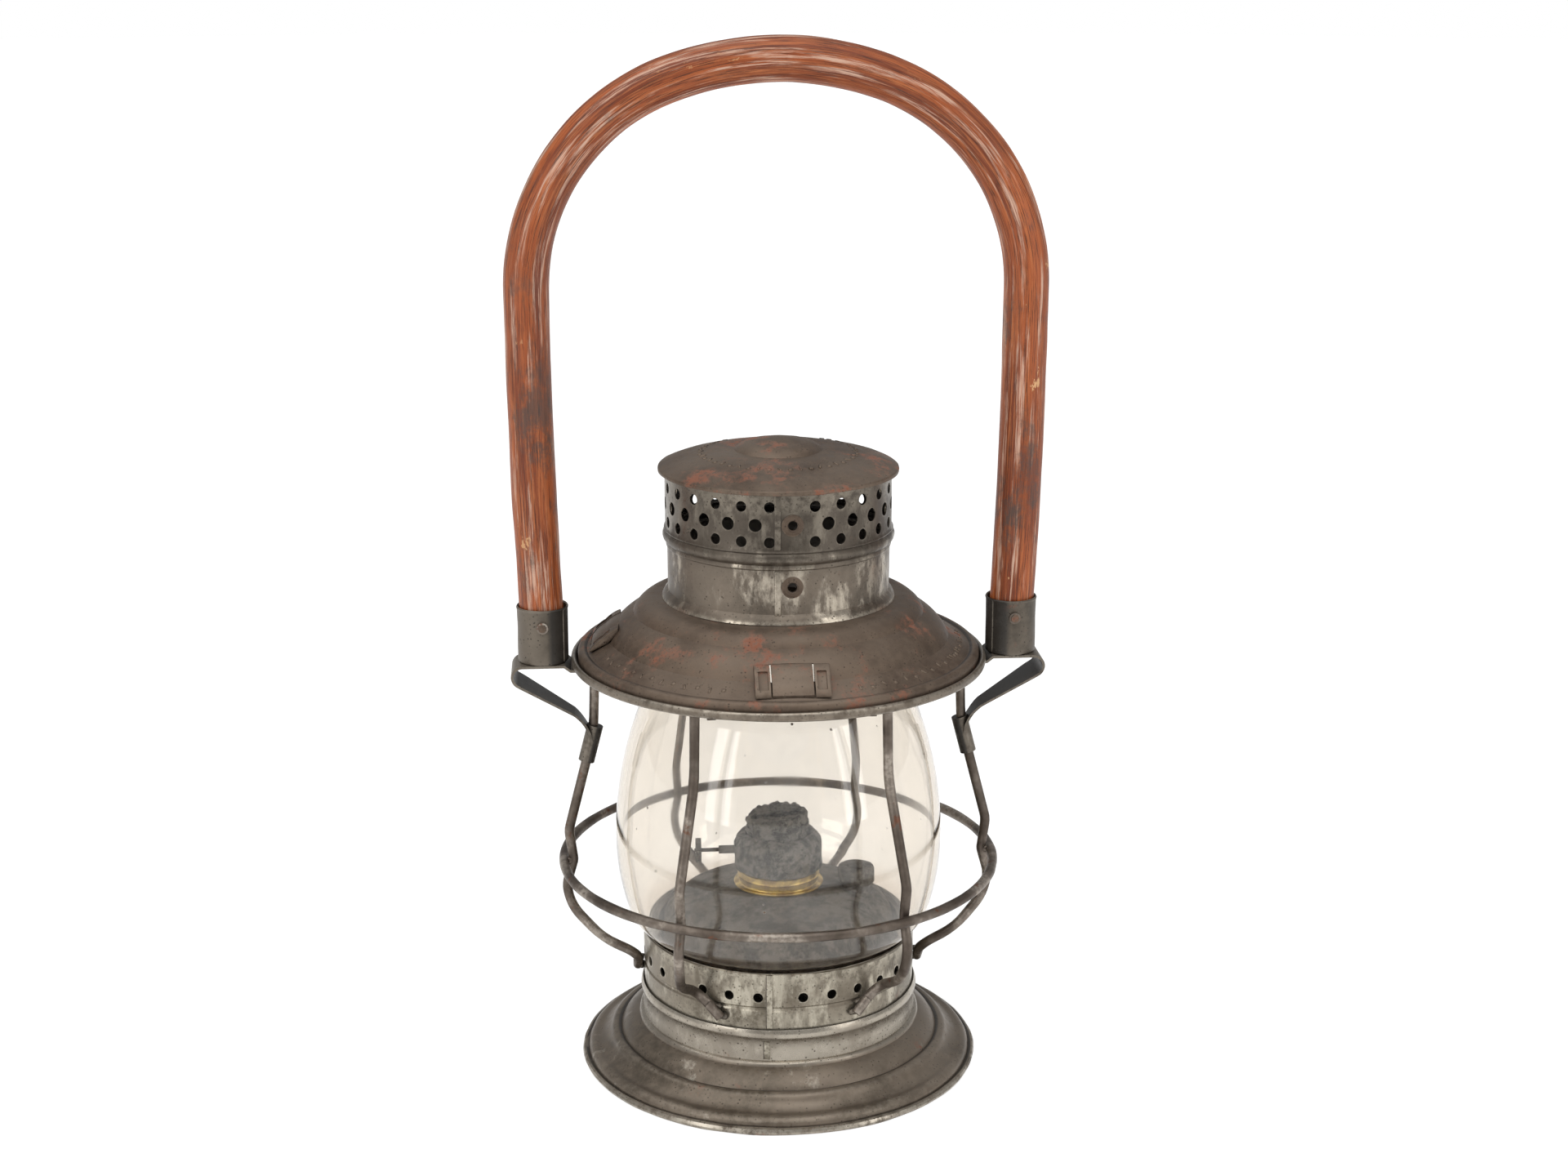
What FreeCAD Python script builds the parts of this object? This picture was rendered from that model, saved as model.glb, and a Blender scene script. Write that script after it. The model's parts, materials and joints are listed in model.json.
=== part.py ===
import FreeCAD, Part
import Sketcher
import math
import os

# A wick-burning hand lantern of tinned sheet iron with a bent wood bail.
# Frame: origin on the floor at the middle of the base, +Z up, front at -Y, bail legs at +X and -X.
# Angles round the lantern are counted from the front (-Y) towards +X. Lengths are in millimetres.

# A size with further names after its note is counted from those sizes, so it moves when they do.
SIZES = {
    # sheet and wire
    "wall": (0.6, "thickness of the tinned sheet"),
    "wire_dia": (3.96, "guard wire"),
    "apart": (0.35, "gap between pieces that move past each other"),
    "running": (0.05, "radial clearance of a running fit"),
    # base
    "rim_r": (2.6, "base rim, outside", "ridge_r"),
    "roll_r": (1.5, "roll of the base rim, outside"),
    "rim_flat": (0.8, "flat worn on the rim's roll, where the lantern stands"),
    "rim_play": (0.25, "room round the wire in the rim"),
    "ridge_r": (4.7, "outer foot of the lower ridge", "valley_r"),
    "ridge_z": (2.475, "height of that foot"),
    "ridge_bend": (3.6, "round of the lower ridge"),
    "valley_r": (4.6, "valley between the ridges", "step_r"),
    "valley_z": (3.425, "height of that valley", "ridge_z"),
    "valley_bend": (9.0, "round of the valley"),
    "step_r": (4.6, "outer foot of the upper ridge", "bell_r"),
    "step_z": (3.7, "height of that foot", "valley_z"),
    "step_bend": (3.1, "round of the upper ridge"),
    "bell_r": (7.5, "foot of the bell", "shoulder_r"),
    "bell_z": (1.6, "height of the bell's foot", "step_z"),
    "bell_bend": (15.0, "round of the bell"),
    "shoulder_r": (2.4, "shoulder under the neck", "collar_r"),
    "shoulder_z": (6.4, "height of the shoulder", "bell_z"),
    "shoulder_bend": (1.9, "round of the shoulder"),
    "neck_z": (2.0, "lower end of the neck", "shoulder_z"),
    "band_z": (8.7, "lower edge of the neck's bead band", "neck_z"),
    "band_top": (4.6, "upper edge of the bead band and end of the neck", "band_z"),
    "band_bend": (4.1, "radius of the bead band's section"),
    # vent collar
    "collar_r": (56.1, "vent collar, outside"),
    "collar_low": (5.4, "lower edge of the collar inside the neck", "neck_z"),
    "collar_top": (24.0, "upper edge of the collar", "band_top"),
    "crease_z": (8.6, "middle of the collar's crease", "band_top"),
    "crease_half": (1.1, "half height of the crease"),
    "crease_bend": (1.3, "radius of the crease's section"),
    "vent_z": (4.9, "row of vent holes", "crease_z"),
    "vent_dia": (4.0, "vent hole"),
    "vent_count": (29, "number of vent holes"),
    "vent_turn": (341.6, "angle from the first vent hole to the last"),
    "vent_start": (5.7, "angle of the first vent hole"),
    # globe and its plate
    "plate_z": (3.6, "top of the globe plate", "vent_z"),
    "plate_depth": (1.4, "skirt of the globe plate"),
    "plate_hole": (-3.0, "radius of the opening in the globe plate", "globe_foot_r"),
    "glass": (2.8, "thickness of the globe"),
    "globe_height": (136.5, "height of the globe"),
    "globe_foot_r": (-2.9, "foot of the globe", "collar_r"),
    "globe_foot_h": (7.0, "height of the globe's straight foot"),
    "globe_low_r": (9.1, "where the foot's bend meets the side", "globe_foot_r"),
    "globe_low_h": (16.0, "height of that place above the foot"),
    "globe_r": (4.6, "widest place of the globe", "globe_low_r"),
    "globe_mid_h": (45.5, "height of the widest place above the foot"),
    "globe_high_r": (-8.2, "upper side of the globe", "globe_r"),
    "globe_high_h": (-32.0, "height of that place above the foot", "globe_neck_h"),
    "globe_neck_r": (43.5, "neck of the globe"),
    "globe_neck_h": (-9.5, "height of the neck above the foot", "globe_height"),
    "globe_foot_bend": (14.5, "bend above the foot"),
    "globe_side_bend": (95.0, "bend of the lower side"),
    "globe_upper_bend": (150.0, "bend of the upper side"),
    "globe_neck_bend": (140.0, "bend towards the neck"),
    # guard
    "ring_r": (21.4, "guard ring, centre line", "globe_r"),
    "ring_z": (36.3, "height of the guard ring", "plate_z"),
    "wire_spread": (30.8, "angle between a wire and the middle of its pair"),
    "wire_end_gap": (0.08, "gap between a wire's upper end and the top ring"),
    # top ring
    "seat_r": (2.6, "opening of the top ring", "lid_band_r"),
    "seat_z": (-15.8, "seat of the lid on the top ring", "plate_z", "globe_height"),
    "seat_lip": (3.2, "lip that hangs from the opening"),
    "hem_r": (9.3, "inner face of the top ring's rolled hem, outside of its sheet", "seat_r"),
    "hem_roll": (1.15, "radius of the rolled hem"),
    "hem_z": (2.2, "middle of the rolled hem", "seat_z"),
    "lug_wide": (3.4, "width of a lug beside a wire's upper end"),
    "lug_deep": (3.6, "depth of a lug"),
    "lug_tall": (3.0, "height of a lug"),
    "lug_out": (0.7486, "middle of a lug beyond the top ring's opening"),
    "lug_turn": (24.874, "angle from the middle of a pair to its lugs"),
    # lid
    "lid_gap": (0.4, "gap between the lid's edge and the top ring"),
    "lid_bead_z": (3.9, "foot of the lid's bead", "seat_z"),
    "lid_bead_r": (7.7, "inner foot of the lid's bead", "lid_band_r"),
    "lid_bead_top": (1.9, "height of that foot", "lid_bead_z"),
    "lid_band_r": (11.1, "foot of the dome", "dome_r"),
    "lid_band_z": (4.5, "height of the dome's foot", "lid_bead_top"),
    "dome_r": (8.3, "upper end of the dome's round", "crown_r"),
    "dome_z": (10.7, "height of that end", "lid_band_z"),
    "dome_bend": (22.0, "round of the dome"),
    "crown_r": (5.6, "outer end of the flat round the chimney", "flue_r"),
    "crown_z": (5.6, "height of that flat", "dome_z"),
    "crown_bend": (9.5, "round between the flat and the dome"),
    "boss_width": (29.0, "raised boss on the dome's foot"),
    "boss_top_r": (-4.8, "upper end of a boss, on the dome", "lid_band_r"),
    "boss_top_z": (6.4, "height of that end", "lid_band_z"),
    "boss_mid_r": (0.8, "bend in a boss's front", "lid_band_r"),
    "boss_mid_z": (5.0, "height of that bend", "boss_low_z"),
    "boss_low_r": (6.0, "lower front edge of a boss", "lid_band_r"),
    "boss_low_z": (1.7, "height of that edge", "lid_bead_top"),
    "boss_left": (93.0, "angle from the front boss to the left one"),
    "boss_right": (133.0, "angle from the front boss to the right one"),
    "window_width": (16.8, "window in a boss"),
    "tongue": (0.9, "thickness of a tongue in a boss window"),
    "retainer_over": (2.4, "retainer ring beyond the globe's neck"),
    "retainer_wide": (6.4, "width of the retainer ring"),
    "retainer_sheet": (0.8, "thickness of the retainer ring and its arms"),
    "retainer_gap": (0.4, "gap between the globe and the retainer ring"),
    "retainer_arm": (8.0, "width of a retainer arm"),
    # chimney and cap
    "flue_r": (44.4, "lower band of the chimney, outside"),
    "flue_foot_r": (2.4, "flared foot of the chimney", "flue_r"),
    "flue_foot_z": (-0.4, "end of the flared foot", "crown_z"),
    "flue_z": (3.9, "upper end of the flare", "crown_z"),
    "bead_z": (19.4, "lower edge of the chimney's bead", "flue_z"),
    "bead_top": (5.2, "upper edge of the chimney's bead", "bead_z"),
    "bead_bend": (2.9, "radius of the bead's section"),
    "screen_r": (0.7, "perforated band, outside", "flue_r"),
    "screen_top": (23.4, "upper edge of the perforated band", "bead_top"),
    "hole_top_z": (17.9, "upper row of holes", "bead_top"),
    "hole_mid_z": (10.8, "middle row of holes", "bead_top"),
    "hole_low_z": (4.1, "lower row of holes", "bead_top"),
    "hole_top_dia": (4.3, "holes of the upper row"),
    "hole_mid_dia": (5.25, "holes of the middle row"),
    "hole_low_dia": (4.45, "holes of the lower row"),
    "hole_count": (25, "holes in the upper and lower rows"),
    "hole_turn": (337.5, "angle from the first hole to the last"),
    "hole_start": (13.85, "angle of the first hole"),
    "eyelet_angle": (2.6, "angle of the eyelets"),
    "eyelet_low_z": (10.8, "lower eyelet", "flue_z"),
    "eyelet_bore": (3.8, "bore of an eyelet"),
    "eyelet_wall": (0.5, "wall of an eyelet"),
    "eyelet_flange": (4.8, "flange of an eyelet", "eyelet_bore"),
    "cap_r": (2.9, "cap, outside", "screen_r"),
    "cap_low": (-0.5, "lower edge of the cap", "screen_top"),
    "cap_lip": (1.5, "height of the cap's edge"),
    "cap_round_r": (-13.0, "middle of the cap's slope", "cap_r"),
    "cap_round_z": (5.9, "height there", "cap_low"),
    "button_r": (17.5, "foot of the cap's button"),
    "button_z": (2.4, "height of that foot", "cap_round_z"),
    "cap_top": (5.0, "top of the lantern's body", "button_z"),
    # hinge and latch
    "hinge_z": (2.8, "height of the hinge pin", "seat_z"),
    "hinge_pin_dia": (2.0, "hinge pin"),
    "knuckle_dia": (2.8, "hinge knuckle", "hinge_pin_dia"),
    "knuckle_len": (7.0, "length of one knuckle"),
    "leaf": (0.9, "thickness of a hinge leaf"),
    # bail
    "bail_dia": (17.6, "wood of the bail"),
    "bail_foot_r": (12.7, "bail leg at its foot", "hem_r"),
    "bail_leg_r": (3.6, "bail leg at its upper end", "bail_foot_r"),
    "bail_bend": (85.0, "bend of the bail's shoulders"),
    "bail_crown": (120.0, "bend of the bail's crown"),
    "bail_top": (236.2, "centre line at the top of the bail", "ferrule_low"),
    "ferrule_dia": (2.6, "ferrule, outside", "bail_dia"),
    "ferrule_low": (1.3, "lower end of the ferrule", "seat_z"),
    "ferrule_top": (23.0, "upper end of the ferrule", "ferrule_low"),
    "nail_z": (16.0, "nail through the ferrule", "ferrule_low"),
    "nail_dia": (2.0, "nail"),
    "nail_head": (2.6, "head of the nail", "nail_dia"),
    "rivet_r": (3.2, "rivet under a ferrule"),
    "rivet_tall": (1.3, "height of that rivet"),
    "strap": (1.0, "thickness of a bail bracket"),
    "strap_width": (19.0, "width of a bail bracket under the ferrule"),
    "strap_end_width": (7.6, "width of a bail bracket at its sleeve"),
    "strap_in_r": (4.5, "inner end of a bracket under the top ring", "seat_r"),
    "strap_fold_r": (9.0, "where a bracket starts to fold back", "bail_foot_r"),
    "strap_fold": (4.6, "radius of the fold"),
    "sleeve_low": (-42.2, "lower end of the sleeve on the side wire", "seat_z"),
    "sleeve_len": (15.5, "length of the sleeve"),
    "sleeve_wall": (1.3, "wall of the sleeve"),
    "sleeve_play": (0.02, "room between the sleeve and its wire"),
    # fount and burner
    "floor_z": (0.8, "floor of the fount seat", "neck_z"),
    "fount_r": (-1.8, "fount", "plate_hole"),
    "fount_side_z": (36.6, "upper end of the fount's straight side", "floor_z"),
    "fount_round_r": (-11.4, "inner end of the fount's shoulder", "fount_r"),
    "fount_round_z": (11.6, "height of that end", "fount_side_z"),
    "fount_bend": (13.0, "shoulder of the fount"),
    "fount_top": (5.6, "top of the fount", "fount_round_z"),
    "screw_r": (14.4, "screw of the burner, outside"),
    "ferrule_ring_r": (2.1, "brass screw ring of the fount", "screw_r"),
    "brass_top": (6.9, "top of the brass ring", "fount_top"),
    "burner_r": (1.5, "burner", "ferrule_ring_r"),
    "burner_side_z": (10.5, "upper end of the burner's straight side", "brass_top"),
    "burner_top": (4.6, "top of the burner", "burner_side_z"),
    "burner_top_r": (-4.4, "opening at the top of the burner", "burner_r"),
    "cone_r": (-1.0, "burner head", "burner_top_r"),
    "cone_height": (9.4, "height of the burner head"),
    "cone_tilt": (6.0, "lean of the burner head"),
    "wick_width": (15.0, "flat wick"),
    "wick_thick": (2.6, "thickness of the wick"),
    "wick_low": (13.6, "lower end of the wick", "floor_z"),
    "wick_top": (4.2, "upper end of the wick", "burner_top"),
    "wick_gap": (0.3, "gap between the wick and its tube"),
    "tube_wall": (0.5, "wall of the wick tube"),
    "tube_low": (-8.2, "lower end of the wick tube", "fount_top"),
    "tube_top": (1.8, "upper end of the wick tube", "burner_top"),
    "spindle_z": (5.3, "height of the wick spindle", "brass_top"),
    "spindle_y": (2.0, "spindle behind the wick", "star_r"),
    "spindle_dia": (1.6, "wick spindle"),
    "star_r": (3.6, "toothed wheels on the spindle"),
    "thumb_r": (5.0, "thumb wheel"),
    "thumb_at": (16.0, "thumb wheel from the middle", "burner_r"),
    "thumb_thick": (2.2, "thickness of the thumb wheel"),
    "bush_dia": (3.4, "bush of the spindle"),
    "bush_len": (8.5, "length of the bush"),
    "filler_at": (-4.5, "filler from the middle", "fount_round_r"),
    "filler_r": (6.0, "filler neck, outside"),
    "filler_low": (-2.6, "lower end of the filler neck", "fount_round_z"),
    "filler_top": (10.6, "upper end of the filler neck", "filler_low"),
    "filler_cap_r": (1.6, "filler cap", "filler_r"),
    "filler_cap_top": (3.8, "top of the filler cap", "filler_top"),
    "filler_cap_low": (-3.6, "lower edge of the filler cap", "filler_top"),
    "filler_cap_bend": (1.4, "round of the filler cap's upper edge"),
}


class Size:
    """A length, angle or count known both as a number and as an expression on the sheet."""

    def __init__(self, value, text):
        self.value = float(value)
        self.text = text

    def __add__(self, other):
        other = as_size(other)
        return Size(self.value + other.value, f"({self.text} + {other.text})")

    def __sub__(self, other):
        other = as_size(other)
        return Size(self.value - other.value, f"({self.text} - {other.text})")

    def __mul__(self, other):
        other = as_size(other)
        return Size(self.value * other.value, f"({self.text} * {other.text})")

    def __truediv__(self, other):
        other = as_size(other)
        return Size(self.value / other.value, f"({self.text} / {other.text})")

    def __neg__(self):
        return Size(-self.value, f"(0 - {self.text})")

    def __radd__(self, other):
        return as_size(other) + self

    def __rsub__(self, other):
        return as_size(other) - self

    __rmul__ = __mul__


def as_size(thing):
    return thing if isinstance(thing, Size) else Size(thing, repr(float(thing)))


def root(size):
    """Square root of a size."""
    return Size(math.sqrt(size.value), f"sqrt({size.text})")


doc = FreeCAD.newDocument("Lantern")
sheet = doc.addObject("Spreadsheet::Sheet", "Sizes")
for row, (alias, (value, note, *counted_from)) in enumerate(SIZES.items(), start=1):
    sheet.set(f"A{row}", alias)
    sheet.set(f"B{row}", str(value))
    sheet.set(f"C{row}", note)
    sheet.set(f"D{row}", " + ".join(counted_from))
    sheet.setAlias(f"B{row}", alias)
doc.recompute()


class Cells:
    """The sheet's cells by name, read back from the sheet and added to what they are counted from."""

    def __getattr__(self, alias):
        size = Size(getattr(sheet, alias), f"Sizes.{alias}")
        for start in SIZES[alias][2:]:
            size = getattr(self, start) + size
        return size


S = Cells()
Vec = FreeCAD.Vector
X_AXIS = Vec(1, 0, 0)
Y_AXIS = Vec(0, 1, 0)
Z_AXIS = Vec(0, 0, 1)
UPRIGHT = FreeCAD.Rotation(X_AXIS, 90)
nodes = []
RIGHT, LEFT = 1, -1


# ---------------------------------------------------------------- helpers

def bind(thing, **sizes):
    """Bind properties of an object to expressions on the sheet."""
    for name, size in sizes.items():
        thing.setExpression(name, as_size(size).text)
    return thing


def place(thing, x=0, y=0, z=0, rotation=None):
    """Turn an object, then bind its place to the sheet."""
    thing.Placement = FreeCAD.Placement(Vec(), rotation or FreeCAD.Rotation())
    for axis, size in zip("xyz", (x, y, z)):
        thing.setExpression(f"Placement.Base.{axis}", as_size(size).text)
    return thing


def add(kind, name, **sizes):
    return bind(doc.addObject(kind, name), **sizes)


def node(thing, label):
    """Name a finished sub-part."""
    thing.Label = label
    nodes.append(thing)
    return thing


def cylinder(name, radius, height, x=0, y=0, z=0, rotation=None):
    thing = add("Part::Cylinder", name, Radius=radius, Height=height)
    return place(thing, x, y, z, rotation)


def box(name, length, width, height, x=0, y=0, z=0):
    """A box centred on x and y, standing on z."""
    length, width = as_size(length), as_size(width)
    thing = add("Part::Box", name, Length=length, Width=width, Height=height)
    return place(thing, x - length / 2, y - width / 2, z)


def cut(name, base, *tools):
    """Cut tools from a base, one after another."""
    for count, tool in enumerate(tools):
        result = doc.addObject("Part::Cut", f"{name}_cut{count}")
        result.Base = base
        result.Tool = tool
        base = result
    return base


def fuse(name, *shapes):
    result = doc.addObject("Part::MultiFuse", f"{name}_joined")
    result.Shapes = list(shapes)
    return result


def common(name, *shapes):
    result = doc.addObject("Part::MultiCommon", f"{name}_common")
    result.Shapes = list(shapes)
    return result


def turned_copy(name, thing, angle):
    """A copy of an object turned round the lantern's axis."""
    result = doc.addObject("Part::Compound", name)
    result.Links = [thing]
    result.Placement = FreeCAD.Placement(Vec(), FreeCAD.Rotation(Z_AXIS, angle))
    return result


def arc_between(start, end, radius):
    """An arc under half a turn; a positive radius bulges to the left of the way from start to end."""
    chord = end - start
    side = Vec(-chord.y, chord.x, 0).normalize()
    rise = abs(radius) - math.sqrt(max(radius * radius - chord.Length ** 2 / 4, 0))
    middle = (start + end) * 0.5 + side * math.copysign(rise, radius)
    return Part.Arc(start, middle, end)


def draw(sketch, points, closed=True):
    """Draw a line through points whose places are bound to the sheet.

    A point is (across, up) or (across, up, bend): bend is the radius of the arc that leads to it.
    """
    points = [tuple(as_size(size) for size in point) for point in points]
    spots = [Vec(point[0].value, point[1].value, 0) for point in points]
    count = len(points)
    spans = [(i, (i + 1) % count) for i in range(count if closed else count - 1)]
    for here, there in spans:
        if len(points[there]) == 3:
            curve = arc_between(spots[here], spots[there], points[there][2].value)
        else:
            curve = Part.LineSegment(spots[here], spots[there])
        sketch.addGeometry(curve, False)
    # Sketcher arcs run counterclockwise, so an arc that bulges left is stored end first
    ends = []
    for here, there in spans:
        flipped = len(points[there]) == 3 and points[there][2].value > 0
        ends.append((2, 1) if flipped else (1, 2))
    for span, (here, there) in enumerate(spans):
        fix_point(sketch, span, ends[span][0], points[here])
        follows = (span + 1) % len(spans)
        if closed or span + 1 < len(spans):
            sketch.addConstraint(
                Sketcher.Constraint("Coincident", span, ends[span][1], follows, ends[follows][0]))
        else:
            fix_point(sketch, span, ends[span][1], points[there])
        if len(points[there]) == 3:
            bend = points[there][2]
            index = sketch.addConstraint(Sketcher.Constraint("Radius", span, abs(bend.value)))
            sketch.setExpression(f"Constraints[{index}]", f"abs({bend.text})")
    return sketch


def fix_point(sketch, span, end, point):
    """Bind one end of a span to its place."""
    for kind, axis, size in (("DistanceX", -2, point[0]), ("DistanceY", -1, point[1])):
        if size.value == 0:
            sketch.addConstraint(Sketcher.Constraint("PointOnObject", span, end, axis))
            continue
        index = sketch.addConstraint(Sketcher.Constraint(kind, -1, 1, span, end, size.value))
        sketch.setExpression(f"Constraints[{index}]", size.text)


def upright_sketch(name, points, closed=True):
    """A sketch in the XZ plane."""
    sketch = doc.addObject("Sketcher::SketchObject", f"{name}_outline")
    sketch.Placement = FreeCAD.Placement(Vec(), UPRIGHT)
    return draw(sketch, points, closed)


def spun(name, section):
    """Turn a flat section once round the lantern's axis."""
    result = doc.addObject("Part::Revolution", f"{name}_turned")
    result.Source = section
    result.Axis = Z_AXIS
    result.Angle = 360
    result.Solid = True
    return result


def thickened(name, points, thickness, side=RIGHT):
    """A flat strip beside an open line, on the right or the left of its way."""
    line = upright_sketch(name, points, closed=False)
    strip = doc.addObject("Part::Offset2D", f"{name}_strip")
    strip.Source = line
    strip.Mode = "Skin"
    strip.Join = "Arc"
    strip.Fill = True
    bind(strip, Value=thickness)
    doc.recompute()
    first = line.Geometry[0]
    middle = first.value((first.FirstParameter + first.LastParameter) / 2)
    way = Vec(*(end.value for end in map(as_size, points[1][:2])), 0)
    way -= Vec(*(end.value for end in map(as_size, points[0][:2])), 0)
    beside = Vec(way.y, -way.x, 0).normalize() * (side * as_size(thickness).value / 2)
    probe = Part.Vertex(line.Placement.multVec(middle + beside))
    if strip.Shape.distToShape(probe)[0] > abs(beside.Length) / 2:
        bind(strip, Value=-as_size(thickness))
    return strip


def spun_sheet(name, points, thickness, side=RIGHT):
    """A thin turned shell from the line of one of its faces."""
    return spun(name, thickened(name, points, thickness, side))


def extruded(name, section, width):
    """A section in the XZ plane made a bar across Y, half to each side."""
    result = doc.addObject("Part::Extrusion", f"{name}_bar")
    result.Base = section
    result.DirMode = "Custom"
    result.Dir = Y_AXIS
    result.Solid = True
    result.Symmetric = True
    return bind(result, LengthFwd=width)


def new_body(name):
    return doc.addObject("PartDesign::Body", name)


def origin_plane(body, role):
    return next(item for item in body.Origin.OriginFeatures if item.Role == role)


def body_sketch(body, name, role):
    sketch = body.newObject("Sketcher::SketchObject", name)
    sketch.AttachmentSupport = [(origin_plane(body, role), "")]
    sketch.MapMode = "FlatFace"
    return sketch


def body_spun(body, name, points):
    """Revolve a closed outline round the body's Z axis."""
    sketch = draw(body_sketch(body, f"{name}_section", "XZ_Plane"), points)
    turn = body.newObject("PartDesign::Revolution", f"{name}_turn")
    turn.Profile = sketch
    turn.ReferenceAxis = (origin_plane(body, "Z_Axis"), [""])
    turn.Angle = 360
    return turn


def circle_at(sketch, across, up, diameter):
    """A circle in a sketch, bound to the sheet."""
    across, up, diameter = as_size(across), as_size(up), as_size(diameter)
    centre = Vec(across.value, up.value, 0)
    span = sketch.addGeometry(Part.Circle(centre, Vec(0, 0, 1), diameter.value / 2), False)
    fix_point(sketch, span, 3, (across, up))
    index = sketch.addConstraint(Sketcher.Constraint("Diameter", span, diameter.value))
    sketch.setExpression(f"Constraints[{index}]", diameter.text)


def front_holes(body, name, holes, depth, count, turn):
    """Round holes in the front wall, as (up, diameter), repeated round the Z axis."""
    sketch = body_sketch(body, f"{name}_circles", "XZ_Plane")
    for up, diameter in holes:
        circle_at(sketch, 0, up, diameter)
    pocket = body.newObject("PartDesign::Pocket", f"{name}_pocket")
    pocket.Profile = sketch
    pocket.Reversed = True
    bind(pocket, Length=depth)
    pattern = body.newObject("PartDesign::PolarPattern", f"{name}_pattern")
    pattern.Originals = [pocket]
    pattern.Axis = (origin_plane(body, "Z_Axis"), [""])
    bind(pattern, Angle=turn, Occurrences=count)
    body.Tip = pattern


def bent_rod(label, points, bends, radius):
    """A round rod along straight runs joined by arcs."""
    edges = []
    start = points[0]
    for corner, bend in zip(range(1, len(points) - 1), bends):
        here = points[corner]
        back = (points[corner - 1] - here).normalize()
        ahead = (points[corner + 1] - here).normalize()
        half = back.getAngle(ahead) / 2
        reach = bend / math.tan(half)
        heart = here + (back + ahead).normalize() * (bend / math.sin(half))
        first = here + back * reach
        last = here + ahead * reach
        middle = heart + (here - heart).normalize() * bend
        edges.append(Part.LineSegment(start, first).toShape())
        edges.append(Part.Arc(first, middle, last).toShape())
        start = last
    edges.append(Part.LineSegment(start, points[-1]).toShape())
    spine = Part.Wire(edges)
    heading = (points[1] - points[0]).normalize()
    section = Part.Wire([Part.Circle(points[0], heading, radius).toShape()])
    rod = doc.addObject("Part::Feature", label)
    rod.Shape = spine.makePipeShell([section], True, True)
    return rod


def round_the_lantern(angle, out, along, up):
    """A point from its distance out along an angle, its distance beside that line, and its height."""
    turn = math.radians(angle)
    outward = Vec(math.sin(turn), -math.cos(turn), 0)
    beside = Vec(math.cos(turn), math.sin(turn), 0)
    return outward * out + beside * along + Vec(0, 0, up)


# ---------------------------------------------------------------- base and vent collar

neck_r = S.collar_r + S.wall
roll_mid_r = S.rim_r - S.roll_r


def make_base_bell():
    """Bell-shaped foot with two ridges, rolled at its rim over a wire."""
    line = [
        (neck_r, S.band_top),
        (neck_r, S.band_z, S.band_bend),
        (neck_r, S.neck_z),
        (S.shoulder_r, S.shoulder_z, S.shoulder_bend),
        (S.bell_r, S.bell_z, S.bell_bend),
        (S.step_r, S.step_z, S.step_bend),
        (S.valley_r, S.valley_z, -S.valley_bend),
        (S.ridge_r, S.ridge_z, S.ridge_bend),
        (S.rim_r, S.roll_r, S.roll_r * 1.06),
        (roll_mid_r + S.rim_flat / 2, 0, S.roll_r),
        (roll_mid_r - S.rim_flat / 2, 0),
        (roll_mid_r - S.roll_r * 0.94, S.roll_r * 0.66, S.roll_r * 1.05),
    ]
    return node(spun_sheet("base_bell", line, S.wall), "base_bell")


def make_rim_wire():
    ring = add("Part::Torus", "rim_wire_ring", Radius1=roll_mid_r,
               Radius2=S.roll_r - S.wall - S.rim_play)
    place(ring, z=S.roll_r)
    return node(ring, "base_rim_wire")


def make_vent_collar():
    """Upright band with a crease and one row of vent holes."""
    body = new_body("collar_band")
    inner = S.collar_r - S.wall
    low, high = S.crease_z - S.crease_half, S.crease_z + S.crease_half
    body_spun(body, "collar", [
        (S.collar_r, S.collar_low),
        (S.collar_r, low),
        (S.collar_r, high, -S.crease_bend),
        (S.collar_r, S.collar_top),
        (inner, S.collar_top),
        (inner, high),
        (inner, low, S.crease_bend),
        (inner, S.collar_low),
    ])
    front_holes(body, "vents", [(S.vent_z, S.vent_dia)], S.collar_r * 1.1, S.vent_count, S.vent_turn)
    body.Placement = FreeCAD.Placement(Vec(), FreeCAD.Rotation(Z_AXIS, S.vent_start.value))
    body.setExpression("Placement.Rotation.Angle", S.vent_start.text)
    return node(body, "vent_collar")


def make_globe_plate():
    """Ring that the globe stands on, with a skirt held in the collar."""
    outer = S.collar_r - S.wall
    line = [(S.plate_hole, S.plate_z), (outer, S.plate_z), (outer, S.plate_z - S.plate_depth)]
    return node(spun_sheet("globe_plate", line, S.wall), "globe_plate")


def make_fount_seat():
    """Pan in the neck that the fount stands in."""
    line = [(S.collar_r, S.collar_low), (S.collar_r, S.floor_z), (0, S.floor_z)]
    return node(spun_sheet("fount_seat", line, S.wall), "fount_seat")


# ---------------------------------------------------------------- globe

globe_top = S.plate_z + S.globe_height


def make_globe():
    """Round-bellied glass, open at both ends."""
    foot = S.plate_z
    line = [
        (S.globe_foot_r, foot),
        (S.globe_foot_r, foot + S.globe_foot_h),
        (S.globe_low_r, foot + S.globe_low_h, -S.globe_foot_bend),
        (S.globe_r, foot + S.globe_mid_h, -S.globe_side_bend),
        (S.globe_high_r, foot + S.globe_high_h, -S.globe_upper_bend),
        (S.globe_neck_r, foot + S.globe_neck_h, -S.globe_neck_bend),
        (S.globe_neck_r, globe_top),
    ]
    return node(spun_sheet("globe", line, S.glass, LEFT), "globe")


# ---------------------------------------------------------------- guard wires and top ring

PAIR_ANGLES = (0, 120, -120)
wire_r = S.wire_dia / 2
wrap_r = S.collar_r + wire_r + 0.75


def make_guard_ring():
    ring = add("Part::Torus", "guard_ring_wire", Radius1=S.ring_r, Radius2=wire_r)
    place(ring, z=S.ring_z)
    return node(ring, "guard_ring")


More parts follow.
